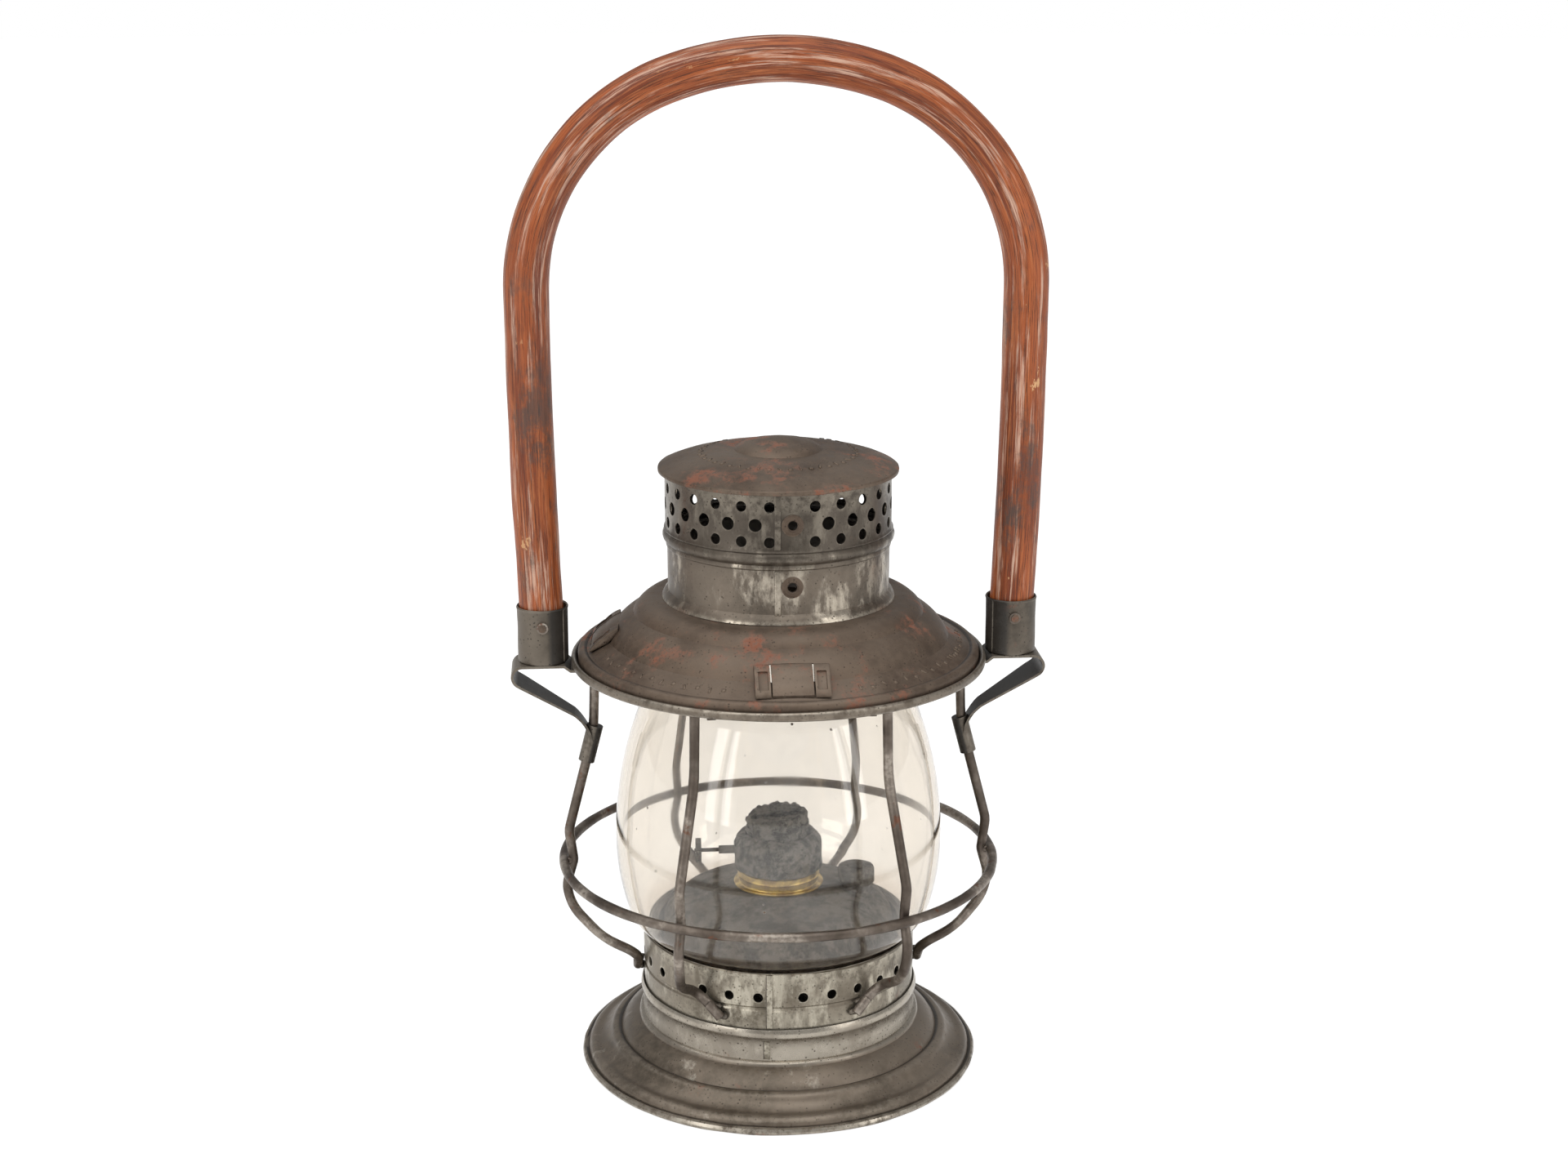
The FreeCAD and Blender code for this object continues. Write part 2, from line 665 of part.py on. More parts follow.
def wire_points(pair, side):
    """Corners of one upright wire, from its end under the top ring down to the collar."""
    ring = (S.ring_r - S.wire_dia).value
    seat = S.seat_r.value
    collar = S.collar_r.value
    top = (S.seat_z - S.wall - S.wire_end_gap).value
    level = S.ring_z.value
    vents = S.vent_z.value
    spread = S.wire_spread.value
    # distance from the axis, angle from the middle of the pair, and height
    corners = [
        (seat + 2.2045, spread - 1.0818, top),
        (seat + 3.1471, spread - 1.0531, top - 29.0),
        (ring + 1.733, spread - 0.1451, level + 13.0),
        (ring, spread, level),
        (ring + 3.1066, spread - 0.2976, level - 10.5),
        (ring + 1.6981, spread - 0.0539, level - 20.0),
        (collar + 17.3757, spread + 5.1979, level - 32.3),
        (wrap_r.value, spread + 7.2, vents),
        (wrap_r.value, spread + 1.7, vents - 4.4),
        (wrap_r.value, spread - 3.3, vents - 9.2),
    ]
    return [round_the_lantern(pair, out * math.cos(math.radians(turn)),
                              side * out * math.sin(math.radians(turn)), up) for out, turn, up in corners]


WIRE_BENDS = (60.0, 12.0, 6.0, 12.0, 17.0, 30.0, 8.0, 14.0)


def make_guard_wires():
    """Six wires from the top ring, past the inside of the guard ring, to the collar."""
    for pair, place_name in zip(PAIR_ANGLES, ("front", "right", "left")):
        for side, hand in ((-1, "a"), (1, "b")):
            label = f"guard_wire_{place_name}_{hand}"
            rod = bent_rod(label, wire_points(pair, side), WIRE_BENDS, wire_r.value)
            node(rod, label)


hem_mid_r = S.hem_r + S.hem_roll


def make_top_ring():
    """Fixed ring under the lid: a lip, a flat seat and a rolled hem."""
    line = [
        (S.seat_r, S.seat_z - S.seat_lip),
        (S.seat_r, S.seat_z),
        (S.hem_r, S.seat_z),
        (S.hem_r, S.hem_z),
        (hem_mid_r, S.hem_z + S.hem_roll, S.hem_roll),
        (S.hem_r + S.hem_roll * 2, S.hem_z, S.hem_roll),
        (S.hem_r + S.hem_roll * 2, S.hem_z - S.hem_roll),
        (hem_mid_r + S.hem_roll * 0.2, S.hem_z - S.hem_roll * 2, S.hem_roll * 1.05),
    ]
    return node(spun_sheet("top_ring", line, S.wall), "top_ring")


def make_ring_lugs():
    """Small lugs under the top ring, one beside each wire."""
    lugs = []
    turn = math.radians(S.lug_turn.value)
    middle_r = S.seat_r + S.lug_out
    for pair in PAIR_ANGLES:
        for side in (-1, 1):
            lug = box(f"lug_{pair % 360}_{side % 3}", S.lug_wide, S.lug_deep, S.lug_tall,
                      x=middle_r * math.sin(turn) * side, y=-(middle_r * math.cos(turn)),
                      z=S.seat_z - S.wall - S.lug_tall)
            lugs.append(turned_copy(f"lug_turned_{pair % 360}_{side % 3}", lug, pair))
    lip_room = cylinder("lug_lip_room", S.seat_r + S.wall + S.running, S.lug_tall * 2,
                        z=S.seat_z - S.lug_tall * 2)
    return node(cut("ring_lugs", fuse("ring_lugs", *lugs), lip_room), "ring_lugs")


# ---------------------------------------------------------------- bail, ferrules and brackets

SIDES = (("right", 1), ("left", -1))


# the bail's centre line: a leg arc up to its elbow, a shoulder and the crown
bail_foot_z = S.ferrule_low + S.wall
bail_inset = S.bail_leg_r - S.bail_bend
bail_spread = S.bail_crown - S.bail_bend
bail_rise = root(bail_spread * bail_spread - bail_inset * bail_inset)
elbow_z = S.bail_top - S.bail_crown + bail_rise
leg_tall = elbow_z - bail_foot_z
leg_splay = S.bail_leg_r - S.bail_foot_r
# a leg leans outwards, so its straight ferrule stands half that lean further out than its foot
ferrule_at = S.bail_foot_r + leg_splay * (S.ferrule_top - bail_foot_z) / leg_tall


def make_bail():
    """Steam-bent wood hoop: two nearly straight legs, two shoulders and a crown."""
    body = new_body("bail_wood")
    leg_bend = (leg_tall * leg_tall + leg_splay * leg_splay) / (leg_splay * 2)
    meet_r = bail_inset + S.bail_bend * bail_inset / bail_spread
    meet_z = elbow_z + S.bail_bend * bail_rise / bail_spread
    path = draw(body_sketch(body, "bail_line", "XZ_Plane"), [
        (S.bail_foot_r, bail_foot_z),
        (S.bail_leg_r, elbow_z, -leg_bend),
        (meet_r, meet_z, -S.bail_bend),
        (0, S.bail_top, -S.bail_crown),
    ], closed=False)
    section = body_sketch(body, "bail_section", "XY_Plane")
    section.AttachmentOffset = FreeCAD.Placement(Vec(), FreeCAD.Rotation())
    section.setExpression("AttachmentOffset.Base.z", bail_foot_z.text)
    circle_at(section, S.bail_foot_r, 0, S.bail_dia)
    pipe = body.newObject("PartDesign::AdditivePipe", "bail_pipe")
    pipe.Profile = section
    pipe.Spine = (path, [])
    mirror = body.newObject("PartDesign::Mirrored", "bail_mirror")
    mirror.Originals = [pipe]
    mirror.MirrorPlane = (origin_plane(body, "YZ_Plane"), [""])
    body.Tip = mirror
    bores = [cylinder(f"bail_bore_{name}", S.nail_dia / 2, S.ferrule_dia * 2, x=ferrule_at * side,
                      y=S.ferrule_dia, z=S.nail_z, rotation=UPRIGHT) for name, side in SIDES]
    return node(cut("bail_bored", body, *bores), "bail")


def make_ferrules():
    """Sheet cups over the ends of the bail."""
    for name, side in SIDES:
        at = ferrule_at * side
        tall = S.ferrule_top - S.ferrule_low
        outside = cylinder(f"ferrule_outside_{name}", S.ferrule_dia / 2, tall, x=at, z=S.ferrule_low)
        inside = cylinder(f"ferrule_inside_{name}", S.ferrule_dia / 2 - S.wall, tall, x=at,
                          z=bail_foot_z)
        bore = cylinder(f"ferrule_bore_{name}", S.nail_dia / 2, S.ferrule_dia * 2, x=at,
                        y=S.ferrule_dia, z=S.nail_z, rotation=UPRIGHT)
        node(cut(f"ferrule_{name}", outside, inside, bore), f"ferrule_{name}")


def make_nails():
    """A nail through each ferrule and the wood, with a domed head in front and a clinch behind."""
    shapes = []
    for name, side in SIDES:
        at = ferrule_at * side
        shank = cylinder(f"nail_shank_{name}", S.nail_dia / 2, S.ferrule_dia, x=at,
                         y=S.ferrule_dia / 2, z=S.nail_z, rotation=UPRIGHT)
        head = cylinder(f"nail_head_{name}", S.nail_head / 2, 1.4, x=at, y=-S.ferrule_dia / 2 + 0.45,
                        z=S.nail_z, rotation=UPRIGHT)
        back = cylinder(f"nail_back_{name}", S.nail_head / 2 * 0.8, 1.1, x=at, y=S.ferrule_dia / 2 + 0.8,
                        z=S.nail_z, rotation=UPRIGHT)
        seat = cylinder(f"nail_seat_{name}", S.ferrule_dia / 2, S.nail_head * 2, x=at,
                        z=S.nail_z - S.nail_head)
        heads = cut(f"nail_heads_{name}", fuse(f"nail_ends_{name}", head, back), seat)
        shapes.append(fuse(f"nail_{name}", shank, heads))
    return node(fuse("ferrule_nails", *shapes), "ferrule_nails")


sleeve_r = wire_r + S.sleeve_wall


def side_wire_place(height):
    """Centre of the side wire at a height, and the way it runs down, in the XZ plane."""
    corners = wire_points(120, -1)
    upper, lower = corners[1], corners[2]
    down = (lower - upper).normalize()
    return upper + down * ((height - upper.z) / down.z), down


def make_brackets():
    """Folded straps that carry the ferrules, each with a sleeve round a side wire."""
    under_ring = S.seat_z - S.wall - S.sleeve_play
    top_z = S.ferrule_low
    middle, down = side_wire_place(S.sleeve_low.value + S.sleeve_len.value / 2)
    start = middle - down * (S.sleeve_len.value / 2)
    arm_r = start.x + sleeve_r.value - 0.6
    line = [
        (S.strap_in_r, under_ring),
        (S.hem_r + S.hem_roll * 2, under_ring),
        (S.hem_r + S.hem_roll * 2 + 2.5, top_z),
        (S.strap_fold_r, top_z),
        (S.strap_fold_r + S.strap_fold, top_z - S.strap_fold, S.strap_fold),
        (S.strap_fold_r + S.strap_fold - 1.9, top_z - S.strap_fold - 3.8, 5.0),
        (arm_r + 6.0, start.z + 5.6),
        (arm_r, start.z - 3.0, -22.0),
        (arm_r - 0.4, start.z - 6.0),
    ]
    half = S.strap_width / 2
    end_half = S.strap_end_width / 2
    bend_z = top_z - S.strap_fold * 2
    low_z = start.z - 8.0
    front_view = [
        (-half, S.ferrule_low + 2.0), (-half, bend_z), (-end_half, start.z + 2.0),
        (-end_half, low_z), (end_half, low_z), (end_half, start.z + 2.0),
        (half, bend_z), (half, S.ferrule_low + 2.0),
    ]
    strip = extruded("strap", thickened("strap", line, S.strap), S.strap_width + 2)
    view = doc.addObject("Sketcher::SketchObject", "strap_view")
    view.Placement = FreeCAD.Placement(Vec(), FreeCAD.Rotation(Vec(1, 1, 1), 120))
    draw(view, front_view)
    slab = doc.addObject("Part::Extrusion", "strap_slab")
    slab.Base = view
    slab.DirMode = "Custom"
    slab.Dir = X_AXIS
    slab.Solid = True
    bind(slab, LengthFwd=S.strap_fold_r * 1.2)
    sleeve = doc.addObject("Part::Feature", "sleeve")
    sleeve.Shape = Part.makeCylinder(sleeve_r.value, S.sleeve_len.value, start, down)
    passage_r = (wire_r + S.sleeve_play).value
    passage = bent_rod("sleeve_passage", wire_points(120, -1), WIRE_BENDS, passage_r)
    strap = common("strap", strip, slab)
    bracket = node(cut("bracket", fuse("bracket", strap, sleeve), passage), "bail_bracket_right")
    mirror = doc.addObject("Part::Mirroring", "bracket_mirrored")
    mirror.Source = bracket
    mirror.Normal = X_AXIS
    node(mirror, "bail_bracket_left")


def make_bracket_rivets():
    """Rivets that hold the ferrules down on their brackets."""
    shapes = []
    for name, side in SIDES:
        at = ferrule_at * side
        shapes.append(cylinder(f"rivet_{name}", S.rivet_r, S.rivet_tall, x=at,
                               z=S.ferrule_low - S.strap - S.rivet_tall))
    return node(fuse("bracket_rivets", *shapes), "bracket_rivets")


# ---------------------------------------------------------------- lid

lid_edge_r = S.hem_r - S.lid_gap
lid_low = S.seat_z + S.lid_gap
dome_line = [
    (S.flue_r - S.wall - 1.2, S.crown_z + 0.3),
    (S.crown_r, S.crown_z),
    (S.dome_r, S.dome_z, S.crown_bend),
    (S.lid_band_r - 0.9, S.lid_band_z + 0.5, S.dome_bend),
    (S.lid_band_r, S.lid_band_z),
    (S.lid_bead_r, S.lid_bead_top),
    (lid_edge_r, S.lid_bead_z, 2.3),
    (lid_edge_r, lid_low),
]


BOSS_TURNS = (("front", 0), ("left", -S.boss_left.value), ("right", S.boss_right.value))


def window_box(name, turn):
    """Room cut through a boss for its tongue."""
    room = box(f"{name}_room", S.window_width, 24.0, S.boss_top_z + S.apart - (S.boss_low_z - 1.5),
               y=-(S.boss_mid_r + 2.0), z=S.boss_low_z - 1.5)
    return turned_copy(name, room, turn)


def make_lid_dome():
    """Domed lid with three raised bosses, each with a window for a tongue."""
    shell = spun_sheet("lid_shell", dome_line, S.wall)
    boss_section = upright_sketch("boss", [
        (S.boss_top_r - 0.6, S.boss_top_z + 0.3),
        (S.boss_top_r, S.boss_top_z),
        (S.boss_mid_r, S.boss_mid_z),
        (S.boss_low_r, S.boss_low_z),
        (S.boss_low_r + 0.3, S.boss_low_z - 1.2),
        (S.lid_band_r - 0.2, S.lid_band_z - 0.3),
        (S.lid_band_r - 1.1, S.lid_band_z + 0.3),
        (S.boss_top_r - 1.0, S.boss_top_z - 0.3),
    ])
    belt = spun("boss", boss_section)
    bosses = []
    for name, turn in BOSS_TURNS:
        sector = box(f"boss_sector_{name}", S.boss_width, 40.0, 30.0, y=-S.boss_mid_r, z=S.boss_low_z - 10)
        bosses.append(turned_copy(f"boss_sector_turned_{name}", sector, turn))
    raised = common("boss", belt, fuse("boss_sectors", *bosses))
    windows = [window_box(f"window_{name}", turn) for name, turn in BOSS_TURNS]
    flue_hole = cylinder("lid_flue_hole", S.flue_r - S.wall, 20.0, z=S.crown_z - 10)
    return node(cut("lid_dome", fuse("lid_dome", shell, raised), *windows, flue_hole), "lid_dome")


def tongue_points(foot):
    """Section of a tongue that fills a boss window, in distance from the axis and height."""
    lean = S.tongue
    return [
        (S.boss_top_r - 0.6, S.boss_top_z),
        (S.boss_mid_r - 0.3, S.boss_mid_z),
        (S.boss_low_r - 0.3, S.boss_low_z),
        (S.boss_low_r - 0.3, S.boss_low_z - 1.0),
        *foot,
        (S.boss_low_r - 0.3 - lean, S.boss_low_z - 1.0 + lean),
        (S.boss_mid_r - 0.3 - lean * 0.7, S.boss_mid_z - lean * 0.7),
        (S.boss_top_r - 0.6 - lean * 0.6, S.boss_top_z - lean * 0.8),
    ]


def make_lid_latch():
    """Spring tongue in the front boss; its shank reaches down inside the top ring's lip."""
    shank_r = S.seat_r - S.lid_gap - 0.2
    foot = [
        (shank_r, S.boss_low_z - 4.6),
        (shank_r, S.seat_z - S.seat_lip),
        (shank_r - S.tongue, S.seat_z - S.seat_lip - 0.6),
        (shank_r - S.tongue, S.boss_low_z - 4.0),
    ]
    section = upright_sketch("lid_latch", tongue_points(foot))
    strip = extruded("lid_latch", section, S.window_width - S.apart * 3)
    strip.Placement = FreeCAD.Placement(Vec(), FreeCAD.Rotation(Z_AXIS, -90))
    return node(strip, "lid_latch")


def make_globe_retainer():
    """Ring over the globe, hung from the tongues of the left and right bosses."""
    ring_low = globe_top + S.retainer_gap
    outer = S.globe_neck_r + S.retainer_over
    inner = outer - S.retainer_wide
    ring = spun("retainer", upright_sketch("retainer", [
        (inner, ring_low), (outer, ring_low), (outer, ring_low + S.retainer_sheet),
        (inner, ring_low + S.retainer_sheet)]))
    pieces = [ring]
    foot = [(S.boss_low_r - 0.3 - S.tongue, S.boss_low_z - 1.0)]
    for name, turn in BOSS_TURNS[1:]:
        section = upright_sketch(f"retainer_tongue_{name}", tongue_points(foot))
        tongue = extruded(f"retainer_tongue_{name}", section, S.window_width - S.apart * 3)
        arm_start = outer - S.retainer_wide / 2
        reach = S.boss_top_r - 0.6 - arm_start
        arm = box(f"retainer_arm_{name}", reach, S.retainer_arm, S.retainer_sheet,
                  x=arm_start + reach / 2, z=ring_low - S.retainer_gap * 0.75)
        hung = fuse(f"retainer_hanger_{name}", tongue, arm)
        pieces.append(turned_copy(f"retainer_hanger_turned_{name}", hung, turn - 90))
    return node(fuse("globe_retainer", *pieces), "globe_retainer")


def make_chimney():
    """Draught chimney: flared foot, plain band, bead and a perforated band."""
    body = new_body("chimney_tube")
    wall = S.wall
    body_spun(body, "chimney", [
        (S.flue_foot_r, S.flue_foot_z + S.wall),
        (S.flue_r, S.flue_z, -7.0),
        (S.flue_r, S.bead_z),
        (S.screen_r, S.bead_top, -S.bead_bend),
        (S.screen_r, S.screen_top),
        (S.screen_r - wall, S.screen_top),
        (S.screen_r - wall, S.bead_top),
        (S.flue_r - wall, S.bead_z, S.bead_bend),
        (S.flue_r - wall, S.flue_z),
        (S.flue_r - wall, S.flue_foot_z + S.wall),
    ])
    rows = [(S.hole_low_z, S.hole_low_dia), (S.hole_top_z, S.hole_top_dia)]
    depth = S.screen_r * 1.1
    front_holes(body, "outer_rows", rows, depth, S.hole_count, S.hole_turn)
    body.Placement = FreeCAD.Placement(Vec(), FreeCAD.Rotation(Z_AXIS, S.hole_start.value))
    body.setExpression("Placement.Rotation.Angle", S.hole_start.text)
    cutters = []
    pitch = S.hole_turn / (S.hole_count - 1)
    for count in range(int(S.hole_count.value) - 1):
        cutter = cylinder(f"middle_hole_{count}", S.hole_mid_dia / 2, depth, z=S.hole_mid_z,
                          rotation=UPRIGHT)
        angle = S.hole_start + pitch * (count + 0.5)
        turned = turned_copy(f"middle_hole_turned_{count}", cutter, angle.value)
        cutters.append(bind(turned, **{"Placement.Rotation.Angle": angle}))
    for name, height in (("high", S.hole_mid_z), ("low", S.eyelet_low_z)):
        cutter = cylinder(f"eyelet_hole_{name}", S.eyelet_bore / 2 + S.eyelet_wall, depth, z=height,
                          rotation=UPRIGHT)
        turned = turned_copy(f"eyelet_hole_turned_{name}", cutter, S.eyelet_angle.value)
        cutters.append(bind(turned, **{"Placement.Rotation.Angle": S.eyelet_angle}))
    return node(cut("chimney", body, fuse("chimney_holes", *cutters)), "chimney")


def make_eyelets():
    """Two eyelets in the chimney's wall, a tube with a flange each."""
    shapes = []
    for name, height, face in (("high", S.hole_mid_z, S.screen_r), ("low", S.eyelet_low_z, S.flue_r)):
        tube_r = S.eyelet_bore / 2 + S.eyelet_wall
        tube = cylinder(f"eyelet_tube_{name}", tube_r, 2.0, y=-(face - 1.4), z=height,
                        rotation=UPRIGHT)
        flange = cylinder(f"eyelet_flange_{name}", S.eyelet_flange / 2, 0.5, y=-(face + 0.1),
                          z=height, rotation=UPRIGHT)
        bore = cylinder(f"eyelet_bore_{name}", S.eyelet_bore / 2, face, z=height, y=-(face / 2),
                        rotation=UPRIGHT)
        eyelet = cut(f"eyelet_{name}", fuse(f"eyelet_{name}", tube, flange), bore)
        shapes.append(turned_copy(f"eyelet_turned_{name}", eyelet, S.eyelet_angle.value))
    return node(fuse("chimney_eyelets", *shapes), "chimney_eyelets")


def make_cap():
    """Shallow cap with a turned-down edge and a button in its middle."""
    line = [
        (0, S.cap_top),
        (S.button_r * 0.55, S.cap_top - 1.6, 24.0),
        (S.button_r, S.button_z, 11.0),
        (S.cap_round_r - 8.0, S.cap_round_z + 1.8, 60.0),
        (S.cap_round_r, S.cap_round_z, 60.0),
        (S.cap_r, S.cap_low + S.cap_lip, 40.0),
        (S.cap_r, S.cap_low),
    ]
    return node(spun_sheet("chimney_cap", line, S.wall), "chimney_cap")


# ---------------------------------------------------------------- lid hinge

hinge_y = S.hem_r + S.hem_roll * 2 + S.knuckle_dia / 2 + S.apart


def knuckle(name, middle_x, length):
    """One hinge knuckle on the pin's line."""
    return cylinder(name, S.knuckle_dia / 2, length, x=middle_x - as_size(length) / 2, y=hinge_y,
                    z=S.hinge_z, rotation=FreeCAD.Rotation(Y_AXIS, 90))


def pin_bore(name, clearance):
    span = S.knuckle_len * 4
    return cylinder(name, S.hinge_pin_dia / 2 + clearance, span, x=-(span / 2), y=hinge_y,
                    z=S.hinge_z, rotation=FreeCAD.Rotation(Y_AXIS, 90))


def make_hinge():
    """Two knuckles on the top ring, one on the lid between them, and the pin."""
    length = S.knuckle_len
    spacing = length + S.apart
    ends = []
    for name, side in SIDES:
        tube = knuckle(f"ring_knuckle_{name}", spacing * side, length)
        foot_y = hem_mid_r
        leaf_len = hinge_y - foot_y
        leaf = box(f"ring_leaf_{name}", length, leaf_len, S.leaf, x=spacing * side,
                   y=foot_y + leaf_len / 2, z=S.hinge_z - S.knuckle_dia / 2)
        ends.append(fuse(f"ring_hinge_{name}", tube, leaf))
    web = box("ring_hinge_web", spacing * 2 + length, 6.5, S.leaf, y=hem_mid_r - 2.0,
              z=S.hinge_z - S.knuckle_dia / 2)
    hem_room = spun("hinge_hem_room", upright_sketch("hinge_hem_room", [
        (S.seat_r, S.hem_z - S.hem_roll * 2), (S.hem_r + S.hem_roll * 2, S.hem_z - S.hem_roll * 2),
        (S.hem_r + S.hem_roll * 2, S.hem_z + S.hem_roll), (S.seat_r, S.hem_z + S.hem_roll)]))
    ring_leaf = cut("ring_hinge", fuse("ring_hinge", *ends, web), hem_room,
                    pin_bore("ring_hinge_bore", 0))
    node(ring_leaf, "ring_hinge_leaf")
    lid_tube = knuckle("lid_knuckle", 0, length)
    leaf_low = S.hinge_z + S.knuckle_dia / 2 - S.leaf
    leaf_start = S.lid_bead_r - 2.0
    strip = box("lid_hinge_strip", length, hinge_y - leaf_start, S.leaf * 2.4,
                y=(hinge_y + leaf_start) / 2, z=leaf_low)
    lid_room = spun("lid_room", upright_sketch("lid_room", [
        *dome_line, (0, lid_low), (0, S.crown_z + 0.3)]))
    lid_leaf = cut("lid_hinge", fuse("lid_hinge", lid_tube, strip), lid_room,
                   pin_bore("lid_hinge_bore", S.running))
    node(lid_leaf, "lid_hinge_leaf")
    span = length * 3 + S.apart * 2
    pin = cylinder("hinge_pin_rod", S.hinge_pin_dia / 2, span + 1.0, x=-(span + 1.0) / 2, y=hinge_y,
                   z=S.hinge_z, rotation=FreeCAD.Rotation(Y_AXIS, 90))
    node(pin, "hinge_pin")


# ---------------------------------------------------------------- fount and burner

def make_fount():
    """Oil fount: a straight-sided tin with a rounded shoulder."""
    low = S.floor_z + S.wall
    line = [
        (0, low),
        (S.fount_r, low),
        (S.fount_r, S.fount_side_z),
        (S.fount_round_r, S.fount_round_z, -S.fount_bend),
        (S.screw_r + 0.2, S.fount_top, -80.0),
    ]
    shell = spun_sheet("fount_shell", line, S.wall, LEFT)
    hole = cylinder("fount_filler_hole", S.filler_r, 20.0, x=S.filler_at, z=S.filler_low - 6)
    return node(cut("fount", shell, hole), "fount_body")


def make_screw_ring():
    """Brass screw ring on the fount, with a flange."""
    inner = S.screw_r + 0.2
    section = upright_sketch("screw_ring", [
        (inner, S.fount_top), (S.ferrule_ring_r + 1.8, S.fount_top),
        (S.ferrule_ring_r + 1.8, S.fount_top + 0.7), (S.ferrule_ring_r, S.fount_top + 1.2),
        (S.ferrule_ring_r, S.brass_top - 0.6), (S.ferrule_ring_r - 0.6, S.brass_top),
        (inner, S.brass_top)])
    return node(spun("screw_ring", section), "fount_screw_ring")


def make_burner():
    """Burner shell that screws into the ring and narrows to its top."""
    line = [
        (S.screw_r, S.fount_top - 2.0),
        (S.screw_r, S.brass_top),
        (S.burner_r, S.brass_top),
        (S.burner_r, S.burner_side_z),
        (S.burner_top_r, S.burner_top, -6.0),
    ]
    shell = spun_sheet("burner", line, S.wall, LEFT)
    passage = cylinder("burner_passage", S.bush_dia / 2, S.burner_r * 1.5, x=-(S.burner_r * 1.5),
                       y=S.spindle_y, z=S.spindle_z, rotation=FreeCAD.Rotation(Y_AXIS, 90))
    return node(cut("burner", shell, passage), "burner_shell")


def make_burner_head():
    """Leaning head on the burner with a slot for the flame."""
    head = cylinder("burner_head_outside", S.cone_r, S.cone_height)
    room = cylinder("burner_head_inside", S.cone_r - S.wall, S.cone_height - S.wall, z=-0.01)
    slot = box("burner_head_slot", S.wick_width + 5.0, S.wick_thick + 3.4, 10.0,
               z=S.cone_height - 5.0)
    cup = cut("burner_head", head, room, slot)
    low = S.burner_top - 1.6
    rotation = FreeCAD.Rotation(Y_AXIS * -1, S.cone_tilt.value)
    place(cup, z=low, rotation=rotation)
    bind(cup, **{"Placement.Rotation.Angle": S.cone_tilt})
    seat = spun("burner_head_seat", upright_sketch("burner_head_seat", [
        (0, S.brass_top), (S.burner_top_r + 3.0, S.brass_top), (S.burner_top_r, S.burner_top),
        (0, S.burner_top)]))
    trimmed = cut("burner_head_trimmed", cup, seat)
    return node(trimmed, "burner_head")


tube_inner_width = S.wick_width + S.wick_gap * 2
tube_inner_thick = S.wick_thick + S.wick_gap * 2


def make_wick_tube():
    """Flat tube for the wick, with slots for the toothed wheels and a flange in the burner."""
    outside = box("wick_tube_outside", tube_inner_width + S.tube_wall * 2,
                  tube_inner_thick + S.tube_wall * 2, S.tube_top - S.tube_low, z=S.tube_low)
    flange = cylinder("wick_tube_flange", S.screw_r - S.wall, 0.6, z=S.fount_top + 3.0)
    inside = box("wick_tube_inside", tube_inner_width, tube_inner_thick, S.tube_top - S.tube_low + 2,
                 z=S.tube_low - 1)
    slots = [box(f"wick_tube_slot_{name}", 2.4, S.spindle_y, S.star_r * 2 + 1.2,
                 x=S.wick_width / 4 * side, y=S.spindle_y / 2,
                 z=S.spindle_z - S.star_r - 0.6) for name, side in SIDES]
    return node(cut("wick_tube", fuse("wick_tube", outside, flange), inside, *slots), "wick_tube")


def make_wick():
    strip = box("wick_strip", S.wick_width, S.wick_thick, S.wick_top - S.wick_low, z=S.wick_low)
    return node(strip, "wick")


def make_spindle():
    """Spindle with two toothed wheels behind the wick."""
    along = FreeCAD.Rotation(Y_AXIS, 90)
    start = -(S.thumb_at + 0.6)
    rod = cylinder("spindle_rod", S.spindle_dia / 2, S.thumb_at + 0.6 + S.wick_width / 2, x=start,
                   y=S.spindle_y, z=S.spindle_z, rotation=along)
    stars = []
    for name, side in SIDES:
        middle = S.wick_width / 4 * side
        disc = cylinder(f"star_disc_{name}", S.star_r, 1.2, x=middle - 0.6, y=S.spindle_y,
                        z=S.spindle_z, rotation=along)
        gaps = []
        for step in range(8):
            turn = math.radians(step * 45)
            gaps.append(cylinder(f"star_gap_{name}_{step}", 0.75, 4.0, x=middle - 2.0,
                                 y=S.spindle_y + S.star_r * math.cos(turn),
                                 z=S.spindle_z + S.star_r * math.sin(turn), rotation=along))
        stars.append(cut(f"star_{name}", disc, fuse(f"star_gaps_{name}", *gaps)))
    return node(fuse("spindle", rod, *stars), "wick_spindle")


def make_thumb_wheel():
    """Milled wheel on the outer end of the spindle."""
    along = FreeCAD.Rotation(Y_AXIS, 90)
    disc = cylinder("thumb_disc", S.thumb_r, S.thumb_thick, x=-(S.thumb_at), y=S.spindle_y,
                    z=S.spindle_z, rotation=along)
    bore = cylinder("thumb_bore", S.spindle_dia / 2, S.thumb_thick * 3,
                    x=-(S.thumb_at + S.thumb_thick), y=S.spindle_y, z=S.spindle_z, rotation=along)
    nicks = []
    for step in range(16):
        turn = math.radians(step * 22.5)
        nicks.append(cylinder(f"thumb_nick_{step}", 0.45, S.thumb_thick * 3,
                              x=-(S.thumb_at + S.thumb_thick),
                              y=S.spindle_y + (S.thumb_r + 0.15) * math.cos(turn),
                              z=S.spindle_z + (S.thumb_r + 0.15) * math.sin(turn), rotation=along))
    return node(cut("thumb_wheel", disc, bore, fuse("thumb_nicks", *nicks)), "thumb_wheel")


